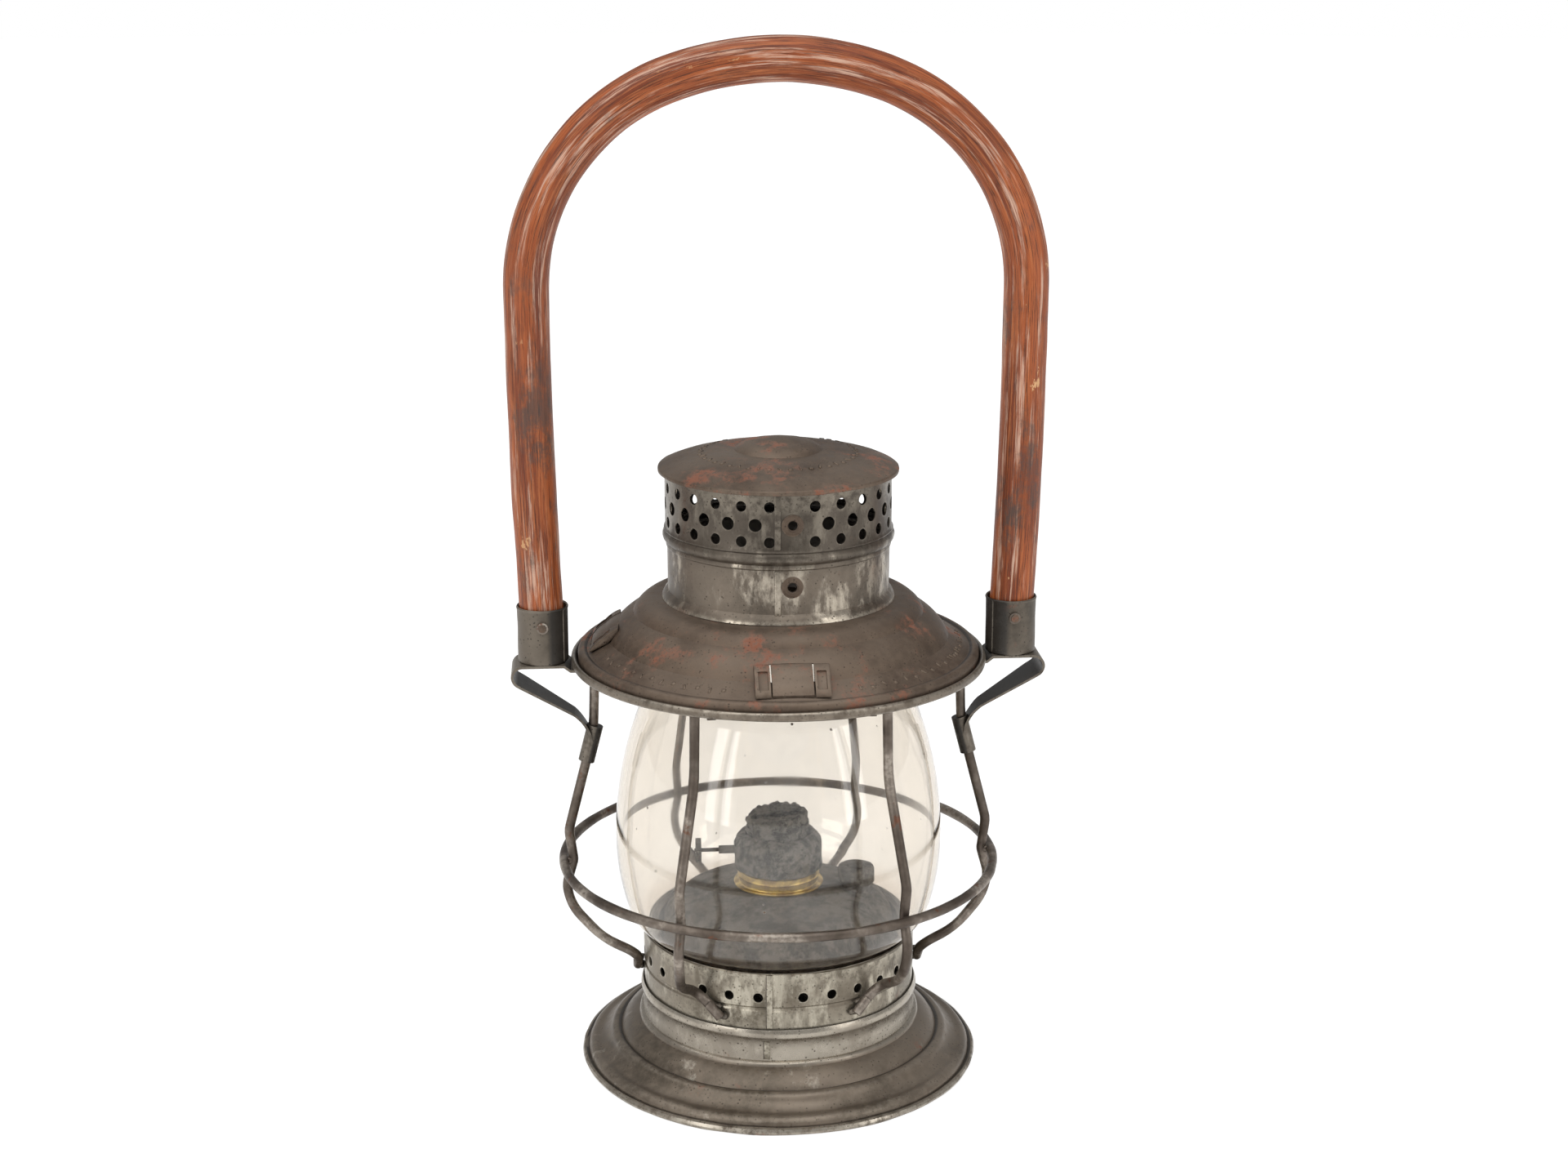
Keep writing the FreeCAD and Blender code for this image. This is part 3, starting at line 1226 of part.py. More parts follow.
def make_bush():
    """Bush in the burner's side that the spindle turns in."""
    along = FreeCAD.Rotation(Y_AXIS, 90)
    start = -(S.burner_r - S.wall - 1.5 + S.bush_len)
    outside = cylinder("bush_outside", S.bush_dia / 2, S.bush_len, x=start, y=S.spindle_y,
                       z=S.spindle_z, rotation=along)
    bore = cylinder("bush_bore", S.spindle_dia / 2 + S.running, S.bush_len * 2,
                    x=start - S.bush_len / 2, y=S.spindle_y, z=S.spindle_z, rotation=along)
    return node(cut("spindle_bush", outside, bore), "spindle_bush")


def make_filler():
    """Filler neck on the fount's shoulder, and its cap."""
    tall = S.filler_top - S.filler_low
    tube = cylinder("filler_tube", S.filler_r, tall, x=S.filler_at, z=S.filler_low)
    bore = cylinder("filler_bore", S.filler_r - S.wall, tall + 2, x=S.filler_at, z=S.filler_low - 1)
    node(cut("filler_neck", tube, bore), "filler_neck")
    cap = cylinder("filler_cap_outside", S.filler_cap_r, S.filler_cap_top - S.filler_cap_low,
                   x=S.filler_at, z=S.filler_cap_low)
    room = cylinder("filler_cap_inside", S.filler_r + S.running,
                    S.filler_top + S.apart - S.filler_cap_low + 1, x=S.filler_at,
                    z=S.filler_cap_low - 1)
    round_top = doc.addObject("Part::Fillet", "filler_cap_round")
    round_top.Base = cap
    doc.recompute()
    top_edges = [number for number, edge in enumerate(cap.Shape.Edges, start=1)
                 if abs(edge.BoundBox.ZMin - S.filler_cap_top.value) < 0.01]
    bend = S.filler_cap_bend.value
    round_top.Edges = [(number, bend, bend) for number in top_edges]
    node(cut("filler_cap", round_top, room), "filler_cap")


# ---------------------------------------------------------------- make, check and write

def make_all():
    make_base_bell()
    make_rim_wire()
    make_vent_collar()
    make_globe_plate()
    make_fount_seat()
    make_globe()
    make_guard_ring()
    make_guard_wires()
    make_top_ring()
    make_ring_lugs()
    make_bail()
    make_ferrules()
    make_nails()
    make_brackets()
    make_bracket_rivets()
    make_lid_dome()
    make_lid_latch()
    make_globe_retainer()
    make_chimney()
    make_eyelets()
    make_cap()
    make_hinge()
    make_fount()
    make_screw_ring()
    make_burner()
    make_burner_head()
    make_wick_tube()
    make_wick()
    make_spindle()
    make_thumb_wheel()
    make_bush()
    make_filler()


def check_all():
    """Stop on any failed object or bad shape."""
    faults = [f"{thing.Label}: {thing.State}" for thing in doc.Objects
              if "Invalid" in thing.State or "Error" in thing.State]
    for thing in nodes:
        if thing.Shape.isNull() or not thing.Shape.isValid() or not thing.Shape.Solids:
            faults.append(f"{thing.Label}: no valid solid")
    if faults:
        raise RuntimeError("; ".join(faults))


make_all()
doc.recompute()
check_all()
os.makedirs("parts", exist_ok=True)
for thing in nodes:
    thing.Shape.exportStep(f"parts/{thing.Label}.step")
    print(f"{thing.Label}: {len(thing.Shape.Solids)} solid(s), {thing.Shape.Volume:.1f} mm3")
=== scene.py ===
import json
import math
import bpy
from mathutils import Matrix, Vector


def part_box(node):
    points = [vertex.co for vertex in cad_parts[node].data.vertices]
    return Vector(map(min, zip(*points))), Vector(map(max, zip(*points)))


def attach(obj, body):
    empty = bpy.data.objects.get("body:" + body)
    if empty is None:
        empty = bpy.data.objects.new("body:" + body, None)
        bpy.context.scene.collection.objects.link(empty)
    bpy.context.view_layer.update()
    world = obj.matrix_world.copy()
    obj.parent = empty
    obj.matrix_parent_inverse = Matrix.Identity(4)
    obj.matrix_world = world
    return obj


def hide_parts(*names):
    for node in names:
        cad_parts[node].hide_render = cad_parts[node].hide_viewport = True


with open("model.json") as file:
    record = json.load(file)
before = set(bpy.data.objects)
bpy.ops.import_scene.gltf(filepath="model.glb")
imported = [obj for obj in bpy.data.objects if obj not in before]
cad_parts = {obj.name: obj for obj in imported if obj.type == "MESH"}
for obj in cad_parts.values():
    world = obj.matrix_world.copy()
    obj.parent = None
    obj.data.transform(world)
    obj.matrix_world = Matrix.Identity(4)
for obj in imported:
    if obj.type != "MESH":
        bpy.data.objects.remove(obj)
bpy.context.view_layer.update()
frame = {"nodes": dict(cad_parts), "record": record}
MM = 0.001


# ---------------------------------------------------------------- sizes, in millimetres and degrees

def foot_of(node):
    return round(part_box(node)[0].z / MM, 2)


def top_of(node):
    return round(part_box(node)[1].z / MM, 2)


def reach_of(node):
    """How far a node stands out from the upright axis."""
    return round(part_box(node)[1].x / MM, 2)


SHEET = 0.6
FOOT_R = reach_of("base_bell")
NECK_TOP = top_of("base_bell")
COLLAR_R = reach_of("fount_seat")
NECK_R = COLLAR_R + SHEET
COLLAR_FOOT, COLLAR_TOP = foot_of("vent_collar"), top_of("vent_collar")
VENT_HEIGHT = 46.4
PAN_FOOT = foot_of("fount_seat")
GLOBE_R = reach_of("globe")
GLOBE_FOOT, GLOBE_TOP = foot_of("globe"), top_of("globe")
WIRE_R = 1.98
WIRE_TURN = 30.8
HOOP_R = reach_of("guard_ring") - WIRE_R
HOOP_HEIGHT = (foot_of("guard_ring") + top_of("guard_ring")) / 2
RING_R = reach_of("top_ring")
RING_FOOT, RING_TOP = foot_of("top_ring"), top_of("top_ring")
BAIL_R = 8.8
BAIL_OUT = 94.56
CUP_R = 10.1
NAIL_HEIGHT = 188
LID_R = reach_of("lid_dome")
LID_FOOT = foot_of("lid_dome")
KEEPER_TOP = top_of("globe_retainer")
FLUE_R, SCREEN_R = 44.4, 45.1
FLUE_FOOT, SCREEN_TOP = foot_of("chimney"), top_of("chimney")
EYELET_HEIGHTS = (236.6, 212.0)
EYELET_TURN = 2.6
CAP_R = reach_of("chimney_cap")
CAP_FOOT = foot_of("chimney_cap")
TANK_R = reach_of("fount_body")
TANK_FOOT = foot_of("fount_body")
SCREW_BORE = 14.6
SCREW_FOOT, SCREW_TOP = foot_of("fount_screw_ring"), top_of("fount_screw_ring")
FILLER_OUT = 32.5

# Turns of the three pairs of wires and of the three bosses from the front.
PAIRS = (0, 120, -120)
BOSSES = (0, -93, 133)


# ---------------------------------------------------------------- shaping by hand

def only(piece):
    """Leave one piece selected and active."""
    bpy.ops.object.select_all(action="DESELECT")
    piece.select_set(True)
    bpy.context.view_layer.objects.active = piece
    return piece


def started(name, add, **sizes):
    """A new primitive under its own name, with nothing else selected."""
    bpy.ops.object.select_all(action="DESELECT")
    add(**sizes)
    bpy.context.object.name = name
    return bpy.context.object


def edit(piece):
    """Open a piece for shaping, all of it selected."""
    only(piece)
    bpy.ops.object.mode_set(mode="EDIT")
    bpy.ops.mesh.select_all(action="SELECT")


def done(piece):
    bpy.ops.object.mode_set(mode="OBJECT")
    return piece


def finish_with(piece, kind, **settings):
    """Add a modifier and apply it."""
    only(piece)
    bpy.ops.object.modifier_add(type=kind)
    modifier = piece.modifiers[-1]
    for name, value in settings.items():
        setattr(modifier, name, value)
    bpy.ops.object.modifier_apply(modifier=modifier.name)
    return piece


def round_axis(degrees):
    return Matrix.Rotation(math.radians(degrees), 4, "Z")


def at(place):
    return Matrix.Translation(Vector(place) * MM)


TO_FRONT = Matrix.Rotation(math.pi / 2, 4, "X")


def clean(piece, gap=0.02):
    """Merge doubled corners and turn every face outwards."""
    edit(piece)
    bpy.ops.mesh.remove_doubles(threshold=gap * MM)
    bpy.ops.mesh.normals_make_consistent(inside=False)
    return done(piece)


def rounded_line(outline, step=1.0):
    """Points in metres along (radius, height) stops; a third number is the radius of the arc up to it."""
    points = [Vector(outline[0][:2])]
    for stop in outline[1:]:
        start, end = points[-1], Vector(stop[:2])
        chord = end - start
        if len(stop) == 3:
            bend = abs(stop[2])
            half = math.asin(min(1, chord.length / 2 / bend))
            side = Vector((-chord.y, chord.x)).normalized() * math.copysign(1, stop[2])
            heart = (start + end) / 2 - side * bend * math.cos(half)
            count = max(3, round(2 * half * bend / step))
            for turn in range(1, count):
                angle = half * (2 * turn / count - 1)
                points.append(heart + side * bend * math.cos(angle)
                              + chord.normalized() * bend * math.sin(angle))
        points.append(end)
    return [point * MM for point in points]


def chain(name, points):
    """A line of corners drawn out from one starting corner."""
    piece = started(name, bpy.ops.mesh.primitive_plane_add, size=MM)
    edit(piece)
    bpy.ops.mesh.merge(type="CENTER")
    bpy.ops.transform.translate(value=points[0])
    for here, there in zip(points, points[1:]):
        bpy.ops.mesh.extrude_region_move(TRANSFORM_OT_translate={"value": there - here})
    return done(piece)


def turned(name, outline, wall=0, sides=144, step=1.0):
    """A sheet, or a solid when the outline closes, turned round the upright axis."""
    line = [Vector((point.x, 0, point.y)) for point in rounded_line(outline, step)]
    piece = chain(name, line)
    edit(piece)
    bpy.ops.mesh.spin(steps=sides, angle=math.tau, center=(0, 0, 0), axis=(0, 0, 1))
    done(piece)
    clean(piece, 0.005)
    if wall:
        finish_with(piece, "SOLIDIFY", thickness=wall * MM, offset=-1, use_even_offset=True)
    return piece


def slab(name, outline, width, bend=0.0, turn=0):
    """A section of the front wall, given by radius and height, drawn out across it."""
    line = [Vector((-width / 2 * MM, -point.x, point.y)) for point in rounded_line(outline)]
    piece = chain(name, line)
    edit(piece)
    bpy.ops.mesh.edge_face_add()
    bpy.ops.mesh.extrude_region_move(TRANSFORM_OT_translate={"value": (width * MM, 0, 0)})
    done(piece)
    clean(piece)
    if bend:
        soften(piece, bend)
    piece.data.transform(round_axis(turn))
    return piece


def block(name, size, place, bend=0.0, turn=0, segments=2):
    """A box with rounded edges, turned round the upright axis."""
    piece = started(name, bpy.ops.mesh.primitive_cube_add, size=1)
    piece.data.transform(Matrix.Diagonal((*(Vector(size) * MM), 1)))
    if bend:
        edit(piece)
        bpy.ops.mesh.bevel(offset=bend * MM, segments=segments, affect="EDGES")
        done(piece)
    piece.data.transform(round_axis(turn) @ at(place))
    return piece


def copy_of(piece, change, name):
    """A copy with its own mesh, moved by a matrix."""
    only(piece)
    bpy.ops.object.duplicate()
    twin = bpy.context.object
    twin.name = name
    twin.data.transform(change)
    if change.determinant() < 0:
        edit(twin)
        bpy.ops.mesh.flip_normals()
        done(twin)
    return twin


def joined(name, pieces):
    """Several pieces made one, under a name."""
    only(pieces[0])
    for piece in pieces:
        piece.select_set(True)
    bpy.ops.object.join()
    pieces[0].name = name
    return pieces[0]


def combine(piece, other, way="DIFFERENCE"):
    """Cut another piece away from one, or add it on."""
    finish_with(piece, "BOOLEAN", operation=way, solver="EXACT", object=other)
    bpy.data.objects.remove(other)
    return piece


def soften(piece, width):
    """Round the sharp edges of a piece."""
    return finish_with(piece, "BEVEL", width=width * MM, segments=2, limit_method="ANGLE",
                       angle_limit=math.radians(40))


def uneven(piece, depth, size, seed_place=(0, 0, 0)):
    """Handling dents: push the sheet in and out a little."""
    cloud = bpy.data.textures.new(f"{piece.name}_dents", "CLOUDS")
    cloud.noise_scale = size * MM
    cloud.noise_depth = 2
    piece.data.transform(Matrix.Translation(Vector(seed_place)))
    finish_with(piece, "DISPLACE", texture=cloud, strength=depth * MM, mid_level=0.5, texture_coords="LOCAL")
    piece.data.transform(Matrix.Translation(-Vector(seed_place)))
    return piece


def as_curve(piece):
    only(piece)
    bpy.ops.object.convert(target="CURVE")
    return bpy.context.object


def rod(name, corners, bends, radius):
    """A round rod through corners that are each rounded by their own bend."""
    points = [Vector(corner) * MM for corner in corners]
    line = [points[0]]
    for before, here, after, bend in zip(points, points[1:], points[2:], bends):
        back, ahead = (before - here).normalized(), (after - here).normalized()
        half = back.angle(ahead) / 2
        reach = bend * MM / math.tan(half)
        heart = here + (back + ahead).normalized() * (bend * MM / math.sin(half))
        first, last = here + back * reach - heart, here + ahead * reach - heart
        sweep = first.angle(last)
        count = max(3, round(sweep / 0.12))
        for step in range(count + 1):
            part = step / count
            blend = (first * math.sin((1 - part) * sweep) + last * math.sin(part * sweep)) / math.sin(sweep)
            line.append(heart + blend)
    line.append(points[-1])
    curve = as_curve(chain(name, line)).data
    curve.bevel_depth = radius * MM
    curve.bevel_resolution = 6
    curve.use_fill_caps = True
    bpy.ops.object.convert(target="MESH")
    return clean(bpy.context.object, 0.002)


def settle(piece, body, slot, finish, *nodes, smooth=35):
    """Give a finished piece its body and finish, and let it stand for its CAD nodes; the slot argument is not
    used.
    """
    only(piece)
    bpy.ops.object.shade_smooth_by_angle(angle=math.radians(smooth))
    piece.data.materials.clear()
    piece.data.materials.append(finish)
    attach(piece, body)
    if nodes:
        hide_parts(*nodes)
    return piece


# ---------------------------------------------------------------- finishes

class Finish:
    """A surface finish built node by node on the piece's own coordinates."""

    def __init__(self, name, **fixed):
        self.material = bpy.data.materials.new(name)
        self.material.use_nodes = True
        self.tree = self.material.node_tree
        self.shader = self.tree.nodes["Principled BSDF"]
        self.place = self.tree.nodes.new("ShaderNodeTexCoord").outputs["Object"]
        for socket, value in fixed.items():
            self.shader.inputs[socket.replace("_", " ")].default_value = value

    def give(self, socket, value):
        """Link a socket to another, or set it to a constant."""
        if isinstance(value, bpy.types.NodeSocket):
            self.tree.links.new(value, socket)
        elif isinstance(value, tuple) and len(value) == 3 and socket.type == "RGBA":
            socket.default_value = (*value, 1)
        else:
            socket.default_value = value

    def set(self, name, value):
        self.give(self.shader.inputs[name], value)

    def stretched(self, scale, move=(0, 0, 0)):
        """The piece's own coordinates, stretched and moved."""
        node = self.tree.nodes.new("ShaderNodeMapping")
        self.give(node.inputs["Vector"], self.place)
        node.inputs["Scale"].default_value = scale
        node.inputs["Location"].default_value = move
        return node.outputs["Vector"]

    def noise(self, scale, detail=4.0, rough=0.55, stretch=(1, 1, 1), move=(0, 0, 0), twist=0.0):
        node = self.tree.nodes.new("ShaderNodeTexNoise")
        self.give(node.inputs["Vector"], self.stretched(stretch, move))
        node.inputs["Scale"].default_value = scale
        node.inputs["Detail"].default_value = detail
        node.inputs["Roughness"].default_value = rough
        node.inputs["Distortion"].default_value = twist
        return node.outputs["Fac"]

    def cells(self, scale, move=(0, 0, 0)):
        node = self.tree.nodes.new("ShaderNodeTexVoronoi")
        self.give(node.inputs["Vector"], self.stretched((1, 1, 1), move))
        node.inputs["Scale"].default_value = scale
        return node.outputs["Distance"]

    def between(self, value, low, high, start=0.0, end=1.0):
        """Smooth step from start to end while value goes from low to high."""
        node = self.tree.nodes.new("ShaderNodeMapRange")
        node.interpolation_type = "SMOOTHSTEP"
        self.give(node.inputs["Value"], value)
        for name, number in (("From Min", low), ("From Max", high), ("To Min", start), ("To Max", end)):
            node.inputs[name].default_value = number
        return node.outputs["Result"]

    def math(self, way, first, second=0.0):
        node = self.tree.nodes.new("ShaderNodeMath")
        node.operation = way
        self.give(node.inputs[0], first)
        self.give(node.inputs[1], second)
        return node.outputs[0]

    def mix(self, amount, first, second):
        node = self.tree.nodes.new("ShaderNodeMix")
        node.data_type = "RGBA"
        self.give(node.inputs["Factor"], amount)
        self.give(node.inputs[6], first)
        self.give(node.inputs[7], second)
        return node.outputs[2]

    def height(self):
        node = self.tree.nodes.new("ShaderNodeSeparateXYZ")
        self.give(node.inputs[0], self.place)
        return node.outputs["Z"]

    def facing_up(self):
        normal = self.tree.nodes.new("ShaderNodeNewGeometry").outputs["Normal"]
        node = self.tree.nodes.new("ShaderNodeSeparateXYZ")
        self.give(node.inputs[0], normal)
        return node.outputs["Z"]

    def facing_out(self):
        """Above nought where a face looks away from the upright axis, below it on inner faces."""
        normal = self.tree.nodes.new("ShaderNodeNewGeometry").outputs["Normal"]
        away = self.tree.nodes.new("ShaderNodeVectorMath")
        away.operation = "NORMALIZE"
        self.give(away.inputs[0], self.stretched((1, 1, 0)))
        node = self.tree.nodes.new("ShaderNodeVectorMath")
        node.operation = "DOT_PRODUCT"
        self.give(node.inputs[0], normal)
        self.give(node.inputs[1], away.outputs[0])
        return node.outputs["Value"]

    def edges(self, low, high):
        """Outer edges, where handling wears the skin off; the brightening there also stands in as a painted
        highlight.
        """
        return self.between(self.tree.nodes.new("ShaderNodeNewGeometry").outputs["Pointiness"], low, high)

    def bump(self, height, strength, distance):
        node = self.tree.nodes.new("ShaderNodeBump")
        node.inputs["Strength"].default_value = strength
        node.inputs["Distance"].default_value = distance * MM
        self.give(node.inputs["Height"], height)
        self.give(self.shader.inputs["Normal"], node.outputs["Normal"])


def tin(name, dark, tone, bright, rust, bright_at, rust_at, dull, move=(0, 0, 0), edge_wear_and_highlight=1.0,
        clean_band=None, smoked_band=None):
    """Old tinned sheet: brown patina, patches worn bright, pits, rust and settled dust; worn edges that are also
    a painted highlight, and painted shade on inward faces.

    A clean band is a stretch of heights, in millimetres, that stayed bright; a smoked band went dark.
    """
    f = Finish(name)
    drift = f.noise(24, 5, 0.55, move=move)
    grain = f.noise(260, 6, 0.7, move=move)
    wear = f.noise(60, 9, 0.68, stretch=(1, 1, 0.45), move=move)
    scale = f.noise(38, 8, 0.72, move=(move[0] + 3, move[1], move[2]))
    pits = f.between(f.cells(620, move=move), 0.12, 0.3, 1, 0)
    pits = f.math("MULTIPLY", pits, f.between(grain, 0.42, 0.6))
    smear = f.noise(30, 6, 0.6, stretch=(6, 6, 0.6), move=move)
    colour = f.mix(f.between(drift, 0.34, 0.66), dark, tone)
    colour = f.mix(f.between(grain, 0.3, 0.75, 0, 0.45), colour, tuple(c * 1.5 for c in tone))
    shine = f.math("MULTIPLY", f.between(wear, bright_at, bright_at + 0.12),
                   f.between(smear, 0.3, 0.55, 0.35, 1))
    if clean_band:
        low, high = clean_band
        band = f.math("MULTIPLY", f.between(f.height(), (low - 1.5) * MM, (low + 1) * MM),
                      f.between(f.height(), high * MM, (high + 1.5) * MM, 1, 0))
        shine = f.math("MAXIMUM", shine, f.math("MULTIPLY", band, f.between(wear, 0.36, 0.56, 0.55, 1)))
    # Edges made bright: real edge wear that also serves as a painted highlight along ridge crests and rims.
    rub_and_highlight = f.math("MULTIPLY", f.edges(0.515, 0.56), f.between(grain, 0.35, 0.6, 0, edge_wear_and_highlight))
    shine = f.math("MAXIMUM", shine, rub_and_highlight)
    colour = f.mix(shine, colour, bright)
    red = f.math("MULTIPLY", f.between(scale, rust_at, rust_at + 0.09), f.between(grain, 0.36, 0.56))
    colour = f.mix(red, colour, rust)
    colour = f.mix(f.math("MULTIPLY", pits, 0.75), colour, tuple(c * 0.35 for c in dark))
    dust = f.math("MULTIPLY", f.between(f.facing_up(), 0.45, 1.0, 0, 0.2), f.between(drift, 0.3, 0.7))
    colour = f.mix(dust, colour, (0.26, 0.225, 0.185))
    # Painted shade: faces turned in towards the upright axis are darkened almost to black and made less metallic.
    inner = f.between(f.facing_out(), -0.02, -0.3)
    colour = f.mix(f.math("MULTIPLY", inner, 0.85), colour, (0.016, 0.014, 0.012))
    if smoked_band:
        smoke = f.between(f.height(), smoked_band[0] * MM, smoked_band[1] * MM, 0, 0.62)
        colour = f.mix(smoke, colour, tuple(c * 0.5 for c in dark))
    f.set("Base Color", colour)
    metal = f.math("SUBTRACT", f.between(shine, 0, 1, 0.62, 0.95), f.math("MULTIPLY", red, 0.5))
    f.set("Metallic", f.math("MULTIPLY", metal, f.between(inner, 0, 1, 1, 0.3)))
    rough = f.math("ADD", f.between(shine, 0, 1, dull, dull * 0.68), f.between(grain, 0.3, 0.7, -0.06, 0.08))
    f.set("Roughness", f.math("MAXIMUM", rough, f.math("MULTIPLY", red, 0.82)))
    relief = f.math("ADD", f.math("MULTIPLY", grain, 0.5), f.math("MULTIPLY", red, 0.35))
    relief = f.math("SUBTRACT", relief, pits)
    f.bump(relief, 0.35, 0.14)
    return f.material


def wire_metal(name):
    """Drawn wire: grey-brown skin worn bright in thin lengths."""
    f = Finish(name)
    skin = f.noise(45, 6, 0.6)
    fine = f.noise(420, 7, 0.7)
    colour = f.mix(f.between(skin, 0.35, 0.65), (0.085, 0.066, 0.052), (0.21, 0.175, 0.145))
    worn = f.math("MULTIPLY", f.between(skin, 0.5, 0.62), f.between(fine, 0.4, 0.6))
    colour = f.mix(worn, colour, (0.38, 0.335, 0.285))
    rust = f.noise(110, 7, 0.7, move=(2, 0, 0))
    colour = f.mix(f.between(rust, 0.6, 0.68, 0, 0.8), colour, (0.15, 0.06, 0.032))
    f.set("Base Color", colour)
    f.set("Metallic", 0.8)
    f.set("Roughness", f.between(fine, 0.3, 0.7, 0.36, 0.6))
    f.bump(fine, 0.3, 0.12)
    return f.material


def varnished_wood(name):
    """Bent ash or oak under old red varnish, rubbed pale along the grain, with dark smudges."""
    f = Finish(name, Coat_Weight=0.06, Coat_Roughness=0.4, Specular_IOR_Level=0.3)
    lengthwise = f.tree.nodes.new("ShaderNodeAttribute")
    lengthwise.attribute_name = "grain"
    f.place = lengthwise.outputs["Vector"]
    bands = f.noise(9, 3, 0.5, stretch=(0.9, 26, 26), twist=0.6)
    fibre = f.noise(34, 8, 0.75, stretch=(1, 34, 34))
    pores = f.noise(60, 6, 0.7, stretch=(1.2, 46, 46), move=(0.3, 0, 0))
    tone = f.noise(11, 4, 0.55)
    colour = f.mix(f.between(bands, 0.34, 0.64), (0.15, 0.027, 0.006), (0.36, 0.085, 0.02))
    colour = f.mix(f.between(fibre, 0.42, 0.7, 0, 0.8), colour, (0.5, 0.165, 0.055))
    colour = f.mix(f.between(tone, 0.4, 0.7, 0, 0.55), colour, (0.17, 0.034, 0.009))
    colour = f.mix(f.between(pores, 0.38, 0.5, 0.85, 0), colour, (0.045, 0.013, 0.006))
    streaks = f.noise(16, 6, 0.65, stretch=(1, 16, 16), move=(1, 0, 0))
    rubbed = f.math("MULTIPLY", f.between(streaks, 0.5, 0.62), f.between(fibre, 0.42, 0.56))
    colour = f.mix(f.math("MULTIPLY", rubbed, 0.8), colour, (0.6, 0.4, 0.3))
    scratches = f.noise(55, 5, 0.7, stretch=(1, 2.2, 2.2), move=(4, 0, 0))
    scraped = f.math("MULTIPLY", f.between(scratches, 0.64, 0.68),
                     f.between(f.noise(7, 2, 0.5, move=(2, 0, 0)), 0.42, 0.6))
    colour = f.mix(scraped, colour, (0.6, 0.34, 0.16))
    grime = f.noise(26, 8, 0.75, stretch=(1, 1.6, 1.6), move=(7, 0, 0))
    smudge = f.math("MULTIPLY", f.between(grime, 0.5, 0.64),
                    f.between(f.noise(5, 2, 0.5, move=(9, 0, 0)), 0.4, 0.6))
    colour = f.mix(f.math("MULTIPLY", smudge, 0.75), colour, (0.05, 0.045, 0.04))
    f.set("Base Color", colour)
    f.set("Roughness", f.math("ADD", f.between(fibre, 0.3, 0.7, 0.42, 0.58),
                              f.math("MULTIPLY", rubbed, 0.15)))
    f.bump(f.math("ADD", pores, f.math("MULTIPLY", fibre, 0.6)), 0.4, 0.25)
    return f.material


def globe_glass(name):
    """Old clear glass with a faint warm tint, specks and a stained foot."""
    f = Finish(name, IOR=1.5, Transmission_Weight=1.0)
    stain = f.between(f.height(), 0.056, 0.068, 1, 0)
    cloudy = f.noise(60, 6, 0.65)
    specks = f.between(f.cells(95), 0.05, 0.075, 1, 0)
    specks = f.math("MULTIPLY", specks, f.between(f.noise(120, 2, 0.5), 0.56, 0.6))
    colour = f.mix(f.math("MULTIPLY", stain, 0.55), (0.99, 0.985, 0.975), (0.62, 0.5, 0.38))
    colour = f.mix(specks, colour, (0.12, 0.08, 0.05))
    f.set("Base Color", colour)
    f.set("Roughness", f.math("ADD", f.between(cloudy, 0.4, 0.75, 0.012, 0.07),
                              f.math("MULTIPLY", stain, 0.12)))
    film = f.between(cloudy, 0.35, 0.7, 0.992, 0.962)
    f.set("Transmission Weight", f.math("SUBTRACT", film, f.math("MULTIPLY", specks, 0.9)))
    tint = f.tree.nodes.new("ShaderNodeVolumeAbsorption")
    tint.inputs["Color"].default_value = (0.585, 0.392, 0.103, 1)
    tint.inputs["Density"].default_value = 62
    f.tree.links.new(tint.outputs[0], f.tree.nodes["Material Output"].inputs["Volume"])
    f.bump(f.noise(14, 2, 0.4), 0.12, 1.2)
    return f.material


def brass(name):
    """Brass gone dull, with brown stains."""
    f = Finish(name)
    mottle = f.noise(180, 7, 0.65)
    colour = f.mix(f.between(mottle, 0.38, 0.62), (0.62, 0.47, 0.17), (0.36, 0.25, 0.1))
    colour = f.mix(f.between(f.noise(60, 6, 0.7), 0.56, 0.68, 0, 0.7), colour, (0.16, 0.12, 0.07))
    f.set("Base Color", colour)
    f.set("Metallic", 0.9)
    f.set("Roughness", f.between(mottle, 0.3, 0.7, 0.3, 0.5))
    f.bump(mottle, 0.2, 0.1)
    return f.material


def soot(name, dark, light, metal=0.35, lumps=110):
    """Sooted tin under a coat of dust."""
    f = Finish(name)
    powder = f.noise(320, 8, 0.75)
    clumps = f.noise(lumps, 9, 0.8)
    colour = f.mix(f.between(clumps, 0.44, 0.58), dark, light)
    colour = f.mix(f.between(powder, 0.54, 0.64, 0, 0.6), colour, (0.27, 0.24, 0.205))
    drift = f.noise(42, 6, 0.65)
    colour = f.mix(f.between(drift, 0.52, 0.64, 0, 0.55), colour, (0.2, 0.165, 0.125))
    dust = f.math("MULTIPLY", f.between(f.facing_up(), 0.3, 1.0, 0, 0.5), f.between(clumps, 0.3, 0.7))
    colour = f.mix(dust, colour, (0.23, 0.205, 0.18))
    f.set("Base Color", colour)
    f.set("Metallic", metal)
    f.set("Roughness", f.between(powder, 0.3, 0.7, 0.55, 0.85))
    f.bump(f.math("ADD", powder, f.math("MULTIPLY", clumps, 1.6)), 0.7, 0.5)
    return f.material


def cotton(name):
    """Woven lamp wick, charred at its top."""
    f = Finish(name)
    weave = f.tree.nodes.new("ShaderNodeTexWave")
    f.give(weave.inputs["Vector"], f.stretched((1, 1, 1)))
    weave.inputs["Scale"].default_value = 260
    weave.inputs["Distortion"].default_value = 1.5
    char = f.between(f.height(), 0.0955, 0.099)
    colour = f.mix(weave.outputs["Fac"], (0.42, 0.36, 0.27), (0.62, 0.56, 0.45))
    f.set("Base Color", f.mix(char, colour, (0.012, 0.011, 0.01)))
    f.set("Roughness", 0.95)
    f.bump(weave.outputs["Fac"], 0.5, 0.3)
    return f.material


